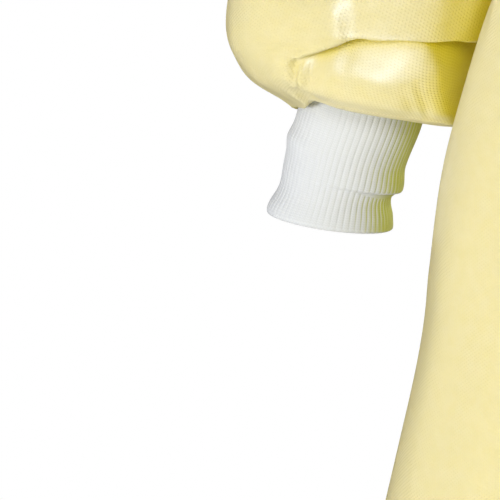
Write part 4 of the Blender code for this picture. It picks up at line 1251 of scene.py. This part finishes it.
def bloused(points, angle, along, outward, cut):
    """The full front of the sleeve's foot, and the gathers, which fade at the quiet angle."""
    down_apron = np.clip((along - APRON_TOP) / (LAST - APRON_TOP), -2, 1.1)
    stand = (0.5 * (down_apron + np.sqrt(down_apron**2 + APRON_EASE**2))) ** 1.2
    front_share = ease(angle % 360, 26, 78) * (1 - ease(angle % 360, 128, FACET_END))
    points = points + (cut.apron * stand * front_share)[..., None] * outward
    calm = 1 - 0.95 * bell(turned(angle, cut.quiet), 38)
    wave = GATHER_HEIGHT * np.cos(GATHERS * np.radians(angle)) * ease(along, LAST - 24, LAST)
    return points + (wave * calm * (0.6 - 0.4 * np.cos(np.radians(angle))))[..., None] * outward


def sleeve(cut, angle, along):
    """A sleeve's outer face, from its cut, between the armhole and the end turned in."""
    angle, along = np.broadcast_arrays(np.asarray(angle, float), np.asarray(along, float))
    points, outward, down = tube(cut.side, angle, along)
    points = rolled(points, angle, along, outward, down, cut.tucks)
    points = lipped(points, angle, along, outward, down, cut.lip)
    points = hollowed(points, angle, along, outward, cut.facet)
    points = bloused(points, angle, along, outward, cut)
    plain = tube(cut.side, angle, 0 * along)[0]
    sewn = armhole(cut.side, angle) - plain
    points = points + (1 - ease(along, 0, 60))[..., None] * sewn
    up_cuff = TURN_IN + 3 - (along - LAST)
    against = cuff(cut.side, angle, up_cuff, CUFF_WALL + RIB_ROOM + CUFF_CLEAR)
    rim = smooth(cut.rim, "up", angle % 360) * ease(along, LAST - 20, LAST) * np.ones_like(angle)
    tight = smooth(cut.rim, "inward", angle % 360) * ease(along, LAST - 14, LAST)
    points = points + stack(0 * rim, 0 * rim, rim) - tight[..., None] * outward
    under = np.clip((along - LAST) / ROLL_UNDER, 0, 1)[..., None]
    belly = stack(0 * along, 0 * along, -0.4 * np.sin(math.pi * under[..., 0]))
    return points + (against - points) * under ** 1.5 + belly


print("the last", TURN_IN, "mm of a sleeve lie against its cuff")

# %% A sleeve's cloth
NARROWEST = 372  # mm round the cut's narrow end, before it is gathered
SleeveCut = namedtuple("SleeveCut", "side angles alongs tucks lip facet rim creases quiet apron")


def sleeve_cloth(cut):
    """A sleeve's points, flat map and normals, with its creases, its seam and unevenness."""
    angle, along = cut.angles[None, :], cut.alongs[:, None]
    points = sleeve(cut, angle, along)
    centres = points[:, :-1].mean(axis=1, keepdims=True) + 0 * points
    normals = normals_of(points, centres, closed=True)
    sway = creased(angle * ROUND_SLEEVE, along, cut.creases)
    sway += creased((angle - 360) * ROUND_SLEEVE, along, cut.creases)
    upper = 1 - ease(along, 280, 318)
    sway += 0.8 * upper * wander(points, 46, (1, 1, 0.55), 5.0 + cut.side)
    sway += 0.35 * wander(points, 22, seed=8.0 + cut.side)
    gap = lengths(points, 0)
    held = ease(gap, 0, 24) * (1 - ease(along, LAST - 4, LAST + 1))
    run = lengths(points[:3], 1)[0][None, :]
    lift = sway * held + sewn_edge(run, gap, 0.3, 1.8, 31)
    points = points + lift[..., None] * normals
    points[:, -1] = points[:, 0]
    plain = tube(cut.side, np.linspace(0, 360, 73)[None, :], along)[0]
    girth = np.minimum.accumulate(np.maximum(lengths(plain, 1)[:, -1:], NARROWEST))
    plain_run = lengths(tube(cut.side, angle, along)[0], 0)
    mean_run = plain_run[:, :-1].mean(axis=1, keepdims=True)
    u = (angle / 360 - 0.25) * girth
    v = mean_run + (lengths(points, 0) - plain_run) * ease(along, 20, 80)
    flat = np.stack(np.broadcast_arrays(u, -v), axis=-1)
    return points, flat, normals_of(points, centres, closed=True)


print("a sleeve's cut says:", ", ".join(SleeveCut._fields))

# %% The two sleeves
RIGHT_CUT = SleeveCut(
    side=-1, angles=graded((-12, 140, 1.2), (140, 348, 2.7)),
    alongs=graded((0, 8, 1.0), (8, 250, 3.4), (250, 302, 2.0), (302, 352, 0.72), (352, 390, 1.15)),
    tucks=RIGHT_TUCKS, lip=RIGHT_LIP, facet=RIGHT_FACET, rim=RIGHT_RIM, creases=RIGHT_CREASES,
    quiet=88, apron=14,
)
LEFT_CUT = SleeveCut(
    side=1, angles=graded((0, 360, 2.2)),
    alongs=graded((0, 8, 1.0), (8, 250, 4.0), (250, 302, 2.6), (302, 352, 1.2), (352, 390, 1.5)),
    tucks=LEFT_TUCKS, lip=LEFT_LIP, facet=LEFT_FACET, rim=LEFT_RIM, creases=LEFT_CREASES,
    quiet=80, apron=8,
)
right_sleeve_points, right_sleeve_flat, right_sleeve_normals = sleeve_cloth(RIGHT_CUT)
left_sleeve_points, left_sleeve_flat, left_sleeve_normals = sleeve_cloth(LEFT_CUT)
sleeve_right = cloth("sleeve_right_cloth", right_sleeve_points, right_sleeve_flat,
                     right_sleeve_normals, CLOTH_WALL, yellow_cloth, closed=True)
sleeve_left = cloth("sleeve_left_cloth", left_sleeve_points, left_sleeve_flat,
                    left_sleeve_normals, CLOTH_WALL, yellow_cloth, closed=True)

# %% [markdown]
# ## Knitted cuffs
#
# A cuff is a doubled tube of rib knit, folded at its free edge. Ribs repeat by a rule, so
# they are made with Geometry Nodes: the plain tube carries two attributes, its place round
# the wrist and how much relief it shows, and the nodes push it out along its normals.

# %% A node group that raises ribs
RIB_HEIGHT = 0.28  # mm
GROOVE_SHARPNESS = 0.3


def node_group(name, sockets):
    """An empty geometry node group; sockets are its inputs, as name, type and value."""
    group = bpy.data.node_groups.new(name, "GeometryNodeTree")
    group.interface.new_socket("Geometry", in_out="INPUT", socket_type="NodeSocketGeometry")
    for label, kind, value in sockets:
        socket = group.interface.new_socket(label, in_out="INPUT", socket_type=kind)
        if value is not None:
            socket.default_value = value
    group.interface.new_socket("Geometry", in_out="OUTPUT", socket_type="NodeSocketGeometry")
    return group, add(group, "NodeGroupInput").outputs, add(group, "NodeGroupOutput")


def named_number(group, name):
    """An attribute of the mesh, as a number at each point."""
    return add(group, "GeometryNodeInputNamedAttribute", {"data_type": "FLOAT"},
               {"Name": name}).outputs[0]


def finish_group(group, made, given, result):
    """Ends a group: real geometry in the finish that it is given."""
    real = add(group, "GeometryNodeRealizeInstances", inputs={0: made.outputs[0]})
    faced = add(group, "GeometryNodeSetMaterial", inputs={
        0: real.outputs[0], "Material": given["Finish"],
    })
    group.links.new(faced.outputs[0], result.inputs[0])
    print(f"{group.name}: a group of {len(group.nodes)} nodes")
    return group


def rib_group():
    """Pushes a tube out along its normals in ribs, as much as its relief attribute says."""
    group, given, result = node_group("raised_ribs", [
        ("Ribs", "NodeSocketFloat", float(RIBS)),
        ("Rib height", "NodeSocketFloat", RIB_HEIGHT * MM),
        ("Groove sharpness", "NodeSocketFloat", GROOVE_SHARPNESS),
        ("Finish", "NodeSocketMaterial", None),
    ])
    around_wrist = named_number(group, "turns")
    relief = named_number(group, "relief")
    ribs_passed = math_node(group, "MULTIPLY", around_wrist, given["Ribs"])
    half_turns = math_node(group, "MULTIPLY", ribs_passed, math.pi)
    wave = math_node(group, "ABSOLUTE", math_node(group, "SINE", half_turns))
    crest = math_node(group, "POWER", wave, given["Groove sharpness"])
    full = math_node(group, "MULTIPLY", crest, given["Rib height"])
    out = add(group, "ShaderNodeVectorMath", {"operation": "SCALE"}, {
        0: add(group, "GeometryNodeInputNormal").outputs[0],
        "Scale": math_node(group, "MULTIPLY", full, relief),
    }).outputs[0]
    raised = add(group, "GeometryNodeSetPosition", inputs={
        "Geometry": given["Geometry"], "Offset": out,
    })
    return finish_group(group, raised, given, result)


def run_nodes(mesh, group, **values):
    """Runs a node group on a mesh once, and returns the plain mesh that it makes."""
    worker = bpy.data.objects.new(mesh.name + "_worker", mesh)
    gown.objects.link(worker)
    modifier = worker.modifiers.new("nodes", "NODES")
    modifier.node_group = group
    for item in group.interface.items_tree:
        label = item.name.replace(" ", "_").lower()
        if item.in_out == "INPUT" and label in values:
            modifier[item.identifier] = values[label]
    worker.update_tag()
    bpy.context.view_layer.update()
    graph = bpy.context.evaluated_depsgraph_get()
    plain = bpy.data.meshes.new_from_object(worker.evaluated_get(graph))
    name = mesh.name
    bpy.data.objects.remove(worker)
    bpy.data.meshes.remove(mesh)
    plain.name = name
    return plain


raised_ribs = rib_group()

# %% A doubled tube of knitting
CUFF_LENGTH = CUFF_COURSES[-1].along
EDGE_START = CUFF_LENGTH - 1.2  # where the tube starts to fold back inside
EDGE_RADIUS = 1.1
EDGE_RELIEF = 0.45  # share of the ribs' height that is left at the fold
INNER_LIFT = 0.5  # of the inner layer, off the plain inner face
POINTS_A_RIB = 8


def put_attribute(mesh, name, values):
    """Writes a number for each point of a mesh, for a node group to read."""
    values = values[:len(mesh.vertices)].astype(np.float32)
    mesh.attributes.new(name, "FLOAT", "POINT").data.foreach_set("value", values)


def cuff_cloth(name, side):
    """The doubled tube: down the outside, round the fold at the free edge and up the inside."""
    turns = np.linspace(0, 1, RIBS * POINTS_A_RIB + 1)
    down = graded((0, 44, 1.2), (44, 56, 0.6), (56, EDGE_START, 1.1))
    bend = np.linspace(0, math.pi, 7)[1:-1]
    up = graded((EDGE_START, 0, 6.0))
    along = np.concatenate([down, EDGE_START + EDGE_RADIUS * np.sin(bend), up])
    middle = (CUFF_WALL + INNER_LIFT) / 2
    lift = np.concatenate([
        np.full(len(down), CUFF_WALL), middle + (CUFF_WALL - middle) * np.cos(bend),
        np.full(len(up), INNER_LIFT),
    ])
    sag = np.concatenate([0 * down, 0.9 * np.sin(bend), 0 * up])[:, None]
    points = cuff(side, 360 * turns[None, :], along[:, None], lift[:, None])
    points = points - sag[..., None] * [0, 0, 1]
    points = np.concatenate([points, points[:1]])
    fade = 1 - (1 - EDGE_RELIEF) * ease(down, CUFF_LENGTH - 7, EDGE_START)
    relief = np.concatenate([fade, EDGE_RELIEF * (1 + np.cos(bend)) / 2, 0 * up, fade[:1]])
    run = np.concatenate([along, along[:1]])
    centres = points[:, :-1].mean(axis=1, keepdims=True) + 0 * points
    inner = slice(len(down) + len(bend) // 2, -1)
    centres[inner] = 2 * points[inner] - centres[inner]
    flat = np.stack(np.broadcast_arrays(turns[None, :] * RIBS * 2 * WALE, -run[:, None]), axis=-1)
    mesh = grid_mesh(name, points, flat, normals_of(points, centres, closed=True), closed=True)
    bm = bmesh.new()
    bm.from_mesh(mesh)
    bmesh.ops.remove_doubles(bm, verts=bm.verts, dist=1e-6)
    bmesh.ops.recalc_face_normals(bm, faces=bm.faces)
    bm.to_mesh(mesh)
    bm.free()
    put_attribute(mesh, "turns", np.tile(turns[:-1], len(relief)))
    put_attribute(mesh, "relief", np.repeat(relief, len(turns) - 1))
    ribbed = run_nodes(mesh, raised_ribs, ribs=float(RIBS), rib_height=RIB_HEIGHT * MM,
                       groove_sharpness=GROOVE_SHARPNESS, finish=white_knit)
    print(f"{name}: {RIBS} ribs, {len(ribbed.polygons)} faces")
    return add_piece(ribbed, white_knit)


cuff_right = cuff_cloth("cuff_right_knit", -1)
cuff_left = cuff_cloth("cuff_left_knit", 1)

# %% [markdown]
# ## Neck binding and fastening
#
# A narrow strip is folded over the raw neck edge. It has to follow the panels exactly, so
# its legs are laid on the finished sheets: each point goes to the nearest place on them and
# then a little way off it. A Shrinkwrap modifier does the same, but it can't fold the strip
# round the edge.

# %% Laying a strip on finished sheets


def sheet_tree(*grids):
    """A search tree of finished sheets, given as their points and normals."""
    corners, faces, count = [], [], 0
    for points, normals in grids:
        rows, columns = points.shape[:2]
        row, column = np.meshgrid(np.arange(rows - 1), np.arange(columns - 1), indexing="ij")
        quad = [(row, column), (row, column + 1), (row + 1, column + 1), (row + 1, column)]
        facing = np.cross(points[:-1, 1:] - points[:-1, :-1], points[1:, :-1] - points[:-1, :-1])
        if (facing * normals[:-1, :-1]).sum() < 0:
            quad = quad[::-1]
        grid = np.stack([r * columns + c for r, c in quad], axis=-1).reshape(-1, 4)
        faces += (grid + count).tolist()
        corners += points.reshape(-1, 3).tolist()
        count += rows * columns
    return BVHTree.FromPolygons(corners, faces)


def lay_on(tree, points, lift):
    """Points moved to lie off the nearest place on the sheets, by lift."""
    moved = []
    for point, off in zip(points.reshape(-1, 3), np.broadcast_to(lift, points.shape[:-1]).ravel()):
        at, normal, _, _ = tree.find_nearest(Vector(point))
        moved.append(at + normal * float(off))
    return np.array(moved).reshape(points.shape)


BINDING_REACH = 10.0  # of each leg, from the raw edge
BINDING_LIFT = 0.7  # off the sheets
BINDING_WALL = 0.45
BINDING_TURNS = np.radians([70, 35, 0, -35, -70])  # of the strip's lines round the raw edge
BINDING_LINES = np.array([1.0, 0.72, 0.45, 0.2])  # of each leg's lines, as shares of its reach
print("the binding reaches", BINDING_REACH, "mm to each side of the edge")

# %% Binding


def neck_cloth():
    """The binding's grid: stations round the neck, and lines over the edge from leg to leg."""
    lap_end = LAP_END / NECK_SHARE * 90
    angles = np.linspace(-180 - lap_end, 180 + lap_end, 261)
    edge = neckline(angles)
    share = (180 - np.abs(angles)) / 90 * NECK_SHARE
    outer = angles > 90
    off = np.where(outer, lap(share), 0)
    edge = edge + stack(0 * off, off, 0.15 * off)
    run = unit(np.gradient(edge, axis=0))
    flat_out = unit(np.cross(run, [0, 0, 1]) * [1, 1, 0])
    flat_out *= np.sign((flat_out * edge * [1, 1, 0]).sum(-1, keepdims=True))
    trees = {
        True: sheet_tree((left_points, left_normals), (front_points, front_normals)),
        False: sheet_tree((right_points, right_normals), (front_points, front_normals)),
    }
    reach = BINDING_LINES * BINDING_REACH
    radius = BINDING_LIFT + CLOTH_WALL / 2
    turn = BINDING_TURNS[:, None]
    rows = []
    for point, away, late in zip(edge, flat_out, outer):
        tree = trees[bool(late)]
        _, normal, _, _ = tree.find_nearest(Vector(point + away * 3))
        normal = np.array(normal)
        slope = unit(away - (away @ normal) * normal)
        leg = lay_on(tree, point + reach[:, None] * slope, BINDING_LIFT)
        back_leg = lay_on(tree, point + reach[::-1, None] * slope, -CLOTH_WALL - BINDING_LIFT)
        round_edge = np.sin(turn) * normal - np.cos(turn) * slope * 1.3
        over = point - normal * CLOTH_WALL / 2 + radius * round_edge
        rows.append(np.concatenate([leg, over, back_leg]))
    points = np.array(rows).transpose(1, 0, 2)
    width = np.concatenate([-reach, [-1.0, -0.5, 0, 0.5, 1.0], reach[::-1]])
    run_along = lengths(edge[:, None], 0)[:, 0]
    flat = np.stack(np.broadcast_arrays(run_along[None, :], width[:, None]), axis=-1)
    return points, flat


binding_points, binding_flat = neck_cloth()
fold_line = binding_points[6:7] * 0.5 + binding_points[[0, -1]].mean(0, keepdims=True) * 0.5
binding_normals = normals_of(binding_points, fold_line)
binding = cloth("neck_binding_tape", binding_points, binding_flat, binding_normals,
                BINDING_WALL, yellow_cloth, offset=1.0)

# %% Fastening patch
PATCH_HALF_WIDTH = 0.07  # as a place across the panel
PATCH_LEVELS = (0.059, 0.2)
PATCH_WALL = 3.4  # both tapes, pressed together


def patch_cloth():
    """Hook tape on one lap and loop tape on the other, pressed together between the panels."""
    across = graded((-PATCH_HALF_WIDTH, PATCH_HALF_WIDTH, 0.006))
    levels = graded((*PATCH_LEVELS, 0.0085))
    points = panel(across[None, :], levels[:, None], -1, outer_lap=True)
    normals = normals_of(points, points * [0, 0, 1])
    middle = points - normals * (LAP_GAP / 2 + CLOTH_WALL / 2)
    pile = 0.25 * wander(middle, 3.0, seed=21.0)
    middle = middle + pile[..., None] * normals
    flat = np.stack([lengths(points, 1), -lengths(points, 0)], axis=-1)
    return cloth("neck_fastening_tape", middle, flat, normals, PATCH_WALL, loop_pile, offset=0.0)


patch = patch_cloth()

# %% [markdown]
# ## Tie belt
#
# Two flat ties are sewn in at the side seams and tied in a bow behind. Each runs along the
# cloth to the knot, then makes a loop and a hanging tail. A curve with a bevel would twist at
# its bends, so each is a strip of points across a path, and its face is kept turned the right
# way.

# %% Paths of the bow
BELT_WIDTH = 26.0
BELT_WALL = 1.1
BELT_GAP = 0.5  # between a tie and the cloth behind it
KNOT_SIZE = (26.0, 14.0, 30.0)

Station = namedtuple("Station", "side out up narrow")
LOOP_PATH = [
    Station(14.0, 4.0, 1, 0.60),
    Station(26, 7.5, 1, 0.80),
    Station(46, 11, -1, 0.97),
    Station(66, 12, -4, 1.0),
    Station(80, 10, -6, 1.0),
    Station(85, 5, -7, 1.0),
    Station(80, 1, -7, 1.0),
    Station(58, -1, -6, 0.97),
    Station(34, 0, -4, 0.85),
    Station(14.0, 0.3, -2, 0.60),
]
LEFT_TAIL_PATH = [
    Station(7, 8.5, -16.2, 0.45),
    Station(13, 9, -44, 0.85),
    Station(19, 5, -100, 1.0),
    Station(22, 5, -170, 1.0),
    Station(31, 9, -250, 1.0),
]
RIGHT_TAIL_PATH = [
    Station(7, 8.5, -16.2, 0.45),
    Station(14, 9, -46, 0.85),
    Station(17, 5, -96, 1.0),
    Station(21, 5, -156, 1.0),
    Station(19, 9, -214, 1.0),
]
print("tails hang", -RIGHT_TAIL_PATH[-1].up, "and", -LEFT_TAIL_PATH[-1].up, "mm below the knot")

# %% The two ends of the belt


def knot_middle():
    """The knot sits clear of the outer back panel, behind its centre line."""
    z = np.linspace(-0.5, 0.5, 7) * (KNOT_SIZE[2] + 20) + BELT_Z
    rows = panel(np.linspace(0, 0.07, 3)[None, :], level_at(z)[:, None], -1, True)
    return np.array([0, rows[..., 1].max() + 1.0 + KNOT_SIZE[1] / 2, BELT_Z])


def belt_cloth(name, side):
    """A tie from its side seam to the knot, drawn in at the knot."""
    middle = knot_middle()
    width = np.linspace(1, -1, 9)[:, None]
    across = side * graded((1, 0.09, 0.011))
    levels = level_at(BELT_Z + width * BELT_WIDTH / 2)
    points = panel(across[None, :], levels, -1, outer_lap=side > 0)
    if side < 0:
        points[..., 1] += lap(-across)[None, :]
    normals = normals_of(points, points * [0, 0, 1])
    points = points + (BELT_GAP + BELT_WALL / 2) * normals
    end = np.array([side * (KNOT_SIZE[0] / 2 - 1.5), middle[1] - 3.4, BELT_Z])
    start = points[:, -1]
    steps = np.linspace(0, 1, 13)[1:]
    last = np.array([end + [0, 0, w * BELT_WIDTH * 0.27] for w in width[:, 0]])
    entry = np.stack([start + (last - start) * ease(s, 0, 1) for s in steps], axis=1)
    entry[..., 0] = start[:, None, 0] + (last - start)[:, None, 0] * steps
    points = np.concatenate([points, entry], axis=1)
    toward = np.linspace(0, 1, points.shape[1])[None, :]
    fold = 0.7 * np.sin(3 * math.pi * width / 2) * ease(toward, 0.72, 1.0)
    normals = normals_of(points, points * [0, 0, 1])
    points = points + (fold + 0.3 * wander(points, 18, seed=4.0 + side) * toward)[..., None] * normals
    run = lengths(points, 1)
    flat = np.stack(np.broadcast_arrays(run, width * BELT_WIDTH / 2), axis=-1)
    return cloth(name, points, flat, normals, BELT_WALL, yellow_cloth, offset=0.0)


belt_left = belt_cloth("waist_tie_left", 1)
belt_right = belt_cloth("waist_tie_right", -1)

# %% Loops and tails
BOW_STEPS = 90


def off_back(x, z):
    """The outer back panel's depth at a place behind the gown."""
    across = np.degrees(np.arcsin(x / smooth(SECTIONS, "half_width", z))) / (180 - SIDE_SEAM)
    return panel(across, level_at(z), -1, True)[..., 1]


def ribbon_cloth(name, side, path, hangs):
    """A loop or tail of the bow, along a table's path; a tail hangs down the back."""
    width_along = np.array([1.0, 0.0, 0.0] if hangs else [0.0, 0.0, 1.0])
    Numbered = namedtuple("Numbered", ("at", *Station._fields))
    rows = [Numbered(float(i), *row) for i, row in enumerate(path)]
    at = np.linspace(0, len(path) - 1, BOW_STEPS)
    line = stack(side * smooth(rows, "side", at), smooth(rows, "out", at), smooth(rows, "up", at))
    line += knot_middle()
    if hangs:
        line[:, 1] = off_back(line[:, 0], line[:, 2]) + smooth(rows, "out", at)
    run = unit(np.gradient(line, axis=0))
    wide = unit(width_along - (run @ width_along)[:, None] * run)
    half = BELT_WIDTH / 2 * smooth(rows, "narrow", at)
    face = unit(np.cross(run, wide))
    width = np.linspace(-1, 1, 11)
    drawn = 1 - np.clip(smooth(rows, "narrow", at), 0, 1)
    pleat = 2.6 * drawn[None, :] * np.cos(2.5 * math.pi * width[:, None])
    curl = 0.9 * width[:, None] ** 2 * np.sin(at * 2.1 + side)[None, :]
    points = line + (width[:, None] * half)[..., None] * wide + (pleat + curl)[..., None] * face
    middle = line + 0 * points - face
    run_along = lengths(line[:, None], 0)[:, 0][None, :]
    flat = np.stack(np.broadcast_arrays(run_along, width[:, None] * BELT_WIDTH / 2), axis=-1)
    normals = normals_of(points, middle)
    return cloth(name, points, flat, normals, BELT_WALL, yellow_cloth, offset=0.0)


loop_left = ribbon_cloth("bow_loop_left_tie", 1, LOOP_PATH, False)
loop_right = ribbon_cloth("bow_loop_right_tie", -1, LOOP_PATH, False)
tail_left = ribbon_cloth("bow_tail_left_tie", 1, LEFT_TAIL_PATH, True)
tail_right = ribbon_cloth("bow_tail_right_tie", -1, RIGHT_TAIL_PATH, True)

# %% [markdown]
# ### Knot
#
# A real knot is cloth wound round the crossing of the ties. Only its outside can be seen, so it
# is lofted as one barrel, with slanting grooves where the turns of cloth lie beside each other.

# %% The knot
KNOT_CREASES = [20, 74, 121, 196, 243, 308]  # degrees round the barrel, at its middle
KNOT_SLANT = 26  # degrees that a groove turns, from the middle to an end
KNOT_GROOVE, KNOT_RIDGE = 1.1, 0.5
KNOT_ROUNDNESS = 0.78  # 1 is an ellipse, less is a rounded box
KNOT_GIRTH = 74  # of the flat cloth round the barrel


def boxed(share):
    """A cosine or sine, made squarer."""
    return np.sign(share) * np.abs(share) ** KNOT_ROUNDNESS


def knot_cloth():
    """A barrel of wound cloth, with slanting creases, closed at both ends."""
    angle = np.linspace(0, 360, 73)[None, :]
    x = np.concatenate([[-1, -1, -0.97], np.linspace(-0.92, 0.92, 25), [0.97, 1, 1]])[:, None]
    barrel = 1 - 0.26 * np.abs(x) ** 3
    barrel[[0, -1]] = 0.02
    barrel[[1, -2]] = 0.5
    turn = np.radians(angle)
    slanted = angle + KNOT_SLANT * x
    groove = sum(
        -KNOT_GROOVE * bell(turned(slanted, at), 7) + KNOT_RIDGE * bell(turned(slanted, at + 24), 12)
        for at in KNOT_CREASES
    ) * (1 - np.abs(x) ** 6)
    y = (KNOT_SIZE[1] / 2 * barrel + groove) * boxed(np.cos(turn))
    z = (KNOT_SIZE[2] / 2 * barrel + groove) * boxed(np.sin(turn))
    points = stack(x * KNOT_SIZE[0] / 2, y, z) + knot_middle()
    flat = np.stack(np.broadcast_arrays(angle / 360 * KNOT_GIRTH, x * BELT_WIDTH / 2), axis=-1)
    middle = points.mean(axis=1, keepdims=True) + 0 * points
    middle[:, :, 0] = knot_middle()[0]
    normals = normals_of(points, middle, closed=True)
    mesh = grid_mesh("bow_knot_tie", points, flat, normals, closed=True)
    bm = bmesh.new()
    bm.from_mesh(mesh)
    bmesh.ops.holes_fill(bm, edges=[e for e in bm.edges if e.is_boundary], sides=0)
    bmesh.ops.recalc_face_normals(bm, faces=bm.faces)
    bm.to_mesh(mesh)
    bm.free()
    print("the knot:", len(KNOT_CREASES), "slanting creases,", len(mesh.polygons), "faces")
    return add_piece(mesh, yellow_cloth)


knot = knot_cloth()

# %% [markdown]
# ## Stitches
#
# Stitches repeat along a line, so Geometry Nodes place them: the seam's line is resampled at
# the stitch pitch, and a small bead of thread is put at each point and turned along the line.

# %% A node group that sews
STITCH_PITCH = 3.2
STITCH_LENGTH = 2.3
THREAD_RADIUS = 0.24
BEAD_SEGMENTS, BEAD_RINGS = 6, 4
BEAD_POINTS = BEAD_SEGMENTS * (BEAD_RINGS - 1) + 2


def stitch_group():
    """Puts a long bead of thread at every step of the pitch along a line of edges."""
    group, given, result = node_group("sewn_line", [
        ("Pitch", "NodeSocketFloat", STITCH_PITCH * MM),
        ("Stitch length", "NodeSocketFloat", STITCH_LENGTH * MM),
        ("Thread radius", "NodeSocketFloat", THREAD_RADIUS * MM),
        ("Finish", "NodeSocketMaterial", None),
    ])
    line = add(group, "GeometryNodeMeshToCurve", inputs={0: given["Geometry"]})
    spaced = add(group, "GeometryNodeResampleCurve", inputs={"Curve": line.outputs[0]})
    spaced.mode = "LENGTH"
    group.links.new(given["Pitch"], spaced.inputs["Length"])
    bead = add(group, "GeometryNodeMeshUVSphere", inputs={
        "Segments": BEAD_SEGMENTS, "Rings": BEAD_RINGS, "Radius": 1.0,
    })
    along = add(group, "FunctionNodeAlignRotationToVector", {"axis": "Z"}, {
        "Vector": add(group, "GeometryNodeInputTangent").outputs[0],
    })
    size = add(group, "ShaderNodeCombineXYZ", inputs={
        0: given["Thread radius"], 1: given["Thread radius"],
        2: math_node(group, "MULTIPLY", given["Stitch length"], 0.5),
    })
    sewn = add(group, "GeometryNodeInstanceOnPoints", inputs={
        "Points": spaced.outputs[0], "Instance": bead.outputs[0],
        "Rotation": along.outputs[0], "Scale": size.outputs[0],
    })
    return finish_group(group, sewn, given, result)


sewn_line = stitch_group()

# %% Sewing along lines


def sew(name, *lines):
    """Stitches along lines of points in millimetres."""
    corners, edges = [], []
    for line in lines:
        start = len(corners)
        corners += (np.asarray(line) * MM).tolist()
        edges += [(i, i + 1) for i in range(start, len(corners) - 1)]
    mesh = bpy.data.meshes.new(name)
    mesh.from_pydata(corners, edges, [])
    stitched = run_nodes(mesh, sewn_line, pitch=STITCH_PITCH * MM, stitch_length=STITCH_LENGTH * MM,
                         thread_radius=THREAD_RADIUS * MM, finish=thread)
    print(f"{name}: {len(stitched.vertices) // BEAD_POINTS} stitches")
    return add_piece(stitched, thread)


def beside(points, normals, column, inner, share, lift):
    """A line between an edge column and one inside it, lifted off the cloth."""
    line = points[:, column] * (1 - share) + points[:, inner] * share
    return line + lift * normals[:, inner]


print("stitches", STITCH_LENGTH, "mm long, every", STITCH_PITCH, "mm")

# %% Where the stitches run
THREAD_LIFT = 0.15  # of the stitches' middles, off the cloth
ON_BINDING = 0.75  # from the middle of the binding's strip to its stitches
armpit_row = int(np.argmin(np.abs(front_points[:, 0, 2] - ARMPIT_Z)))
binding_line = binding_points[1] * 0.8 + binding_points[2] * 0.2
binding_lift = unit(binding_points[1] - binding_points[-2])
neck_stitches = sew("neck_binding_stitches", binding_line + ON_BINDING * binding_lift)
side_lines = [
    beside(front_points, front_normals, edge, inner, 0.9, THREAD_LIFT)[armpit_row:]
    for edge, inner in ((0, 3), (-1, -4))
]
side_stitches = sew("side_seam_stitches", *side_lines)
sleeve_grids = [
    (right_sleeve_points, right_sleeve_normals), (left_sleeve_points, left_sleeve_normals),
]
armhole_lines = [points[4] + THREAD_LIFT * normals[4] for points, normals in sleeve_grids]
armhole_stitches = sew("armhole_stitches", *armhole_lines)

# %% [markdown]
# ## Putting each piece on the frame
#
# Each piece rides on the gown's only body and stands for its solid, which is hidden. The
# table of roles also lists each sheet's cut, how it is held and what it rests on, because
# cloth neither stretches nor shrinks much, but nothing here reads those columns.

# %% The gown's cut pieces
Role = namedtuple("Role", "piece node flat held rests_on")
ROLES = [
    Role(front, "front_panel", front_flat, "hung", []),
    Role(back_right, "back_panel_right", right_flat, "hung", []),
    Role(back_left, "back_panel_left", left_flat, "hung", ["back_panel_right_cloth"]),
    Role(sleeve_right, "sleeve_right", right_sleeve_flat, "gathered", []),
    Role(sleeve_left, "sleeve_left", left_sleeve_flat, "gathered", []),
    Role(binding, "neck_binding", binding_flat, "folded", ["front_panel_cloth"]),
]
for role in ROLES:
    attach(role.piece, "root")
    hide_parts(role.node)
print(len(ROLES), "cut pieces of the gown are declared")

# %% Cuffs, belt and stitches
for piece, node in ((cuff_right, "cuff_right"), (cuff_left, "cuff_left")):
    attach(piece, "root")
    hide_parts(node)

TIES = {
    belt_right: ("belt_right", "laid"), belt_left: ("belt_left", "laid"),
    loop_right: ("bow_loop_right", "folded"), loop_left: ("bow_loop_left", "folded"),
    tail_right: ("bow_tail_right", "hung"), tail_left: ("bow_tail_left", "hung"),
    knot: ("belt_knot", "folded"),
}
for piece, (node, held) in TIES.items():
    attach(piece, "root")
    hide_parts(node)

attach(patch, "root")
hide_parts("neck_fastening")
for piece in (neck_stitches, side_stitches, armhole_stitches):
    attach(piece, "root")
print(len(TIES), "pieces of the belt, two cuffs, a patch and three rows of stitches are declared")
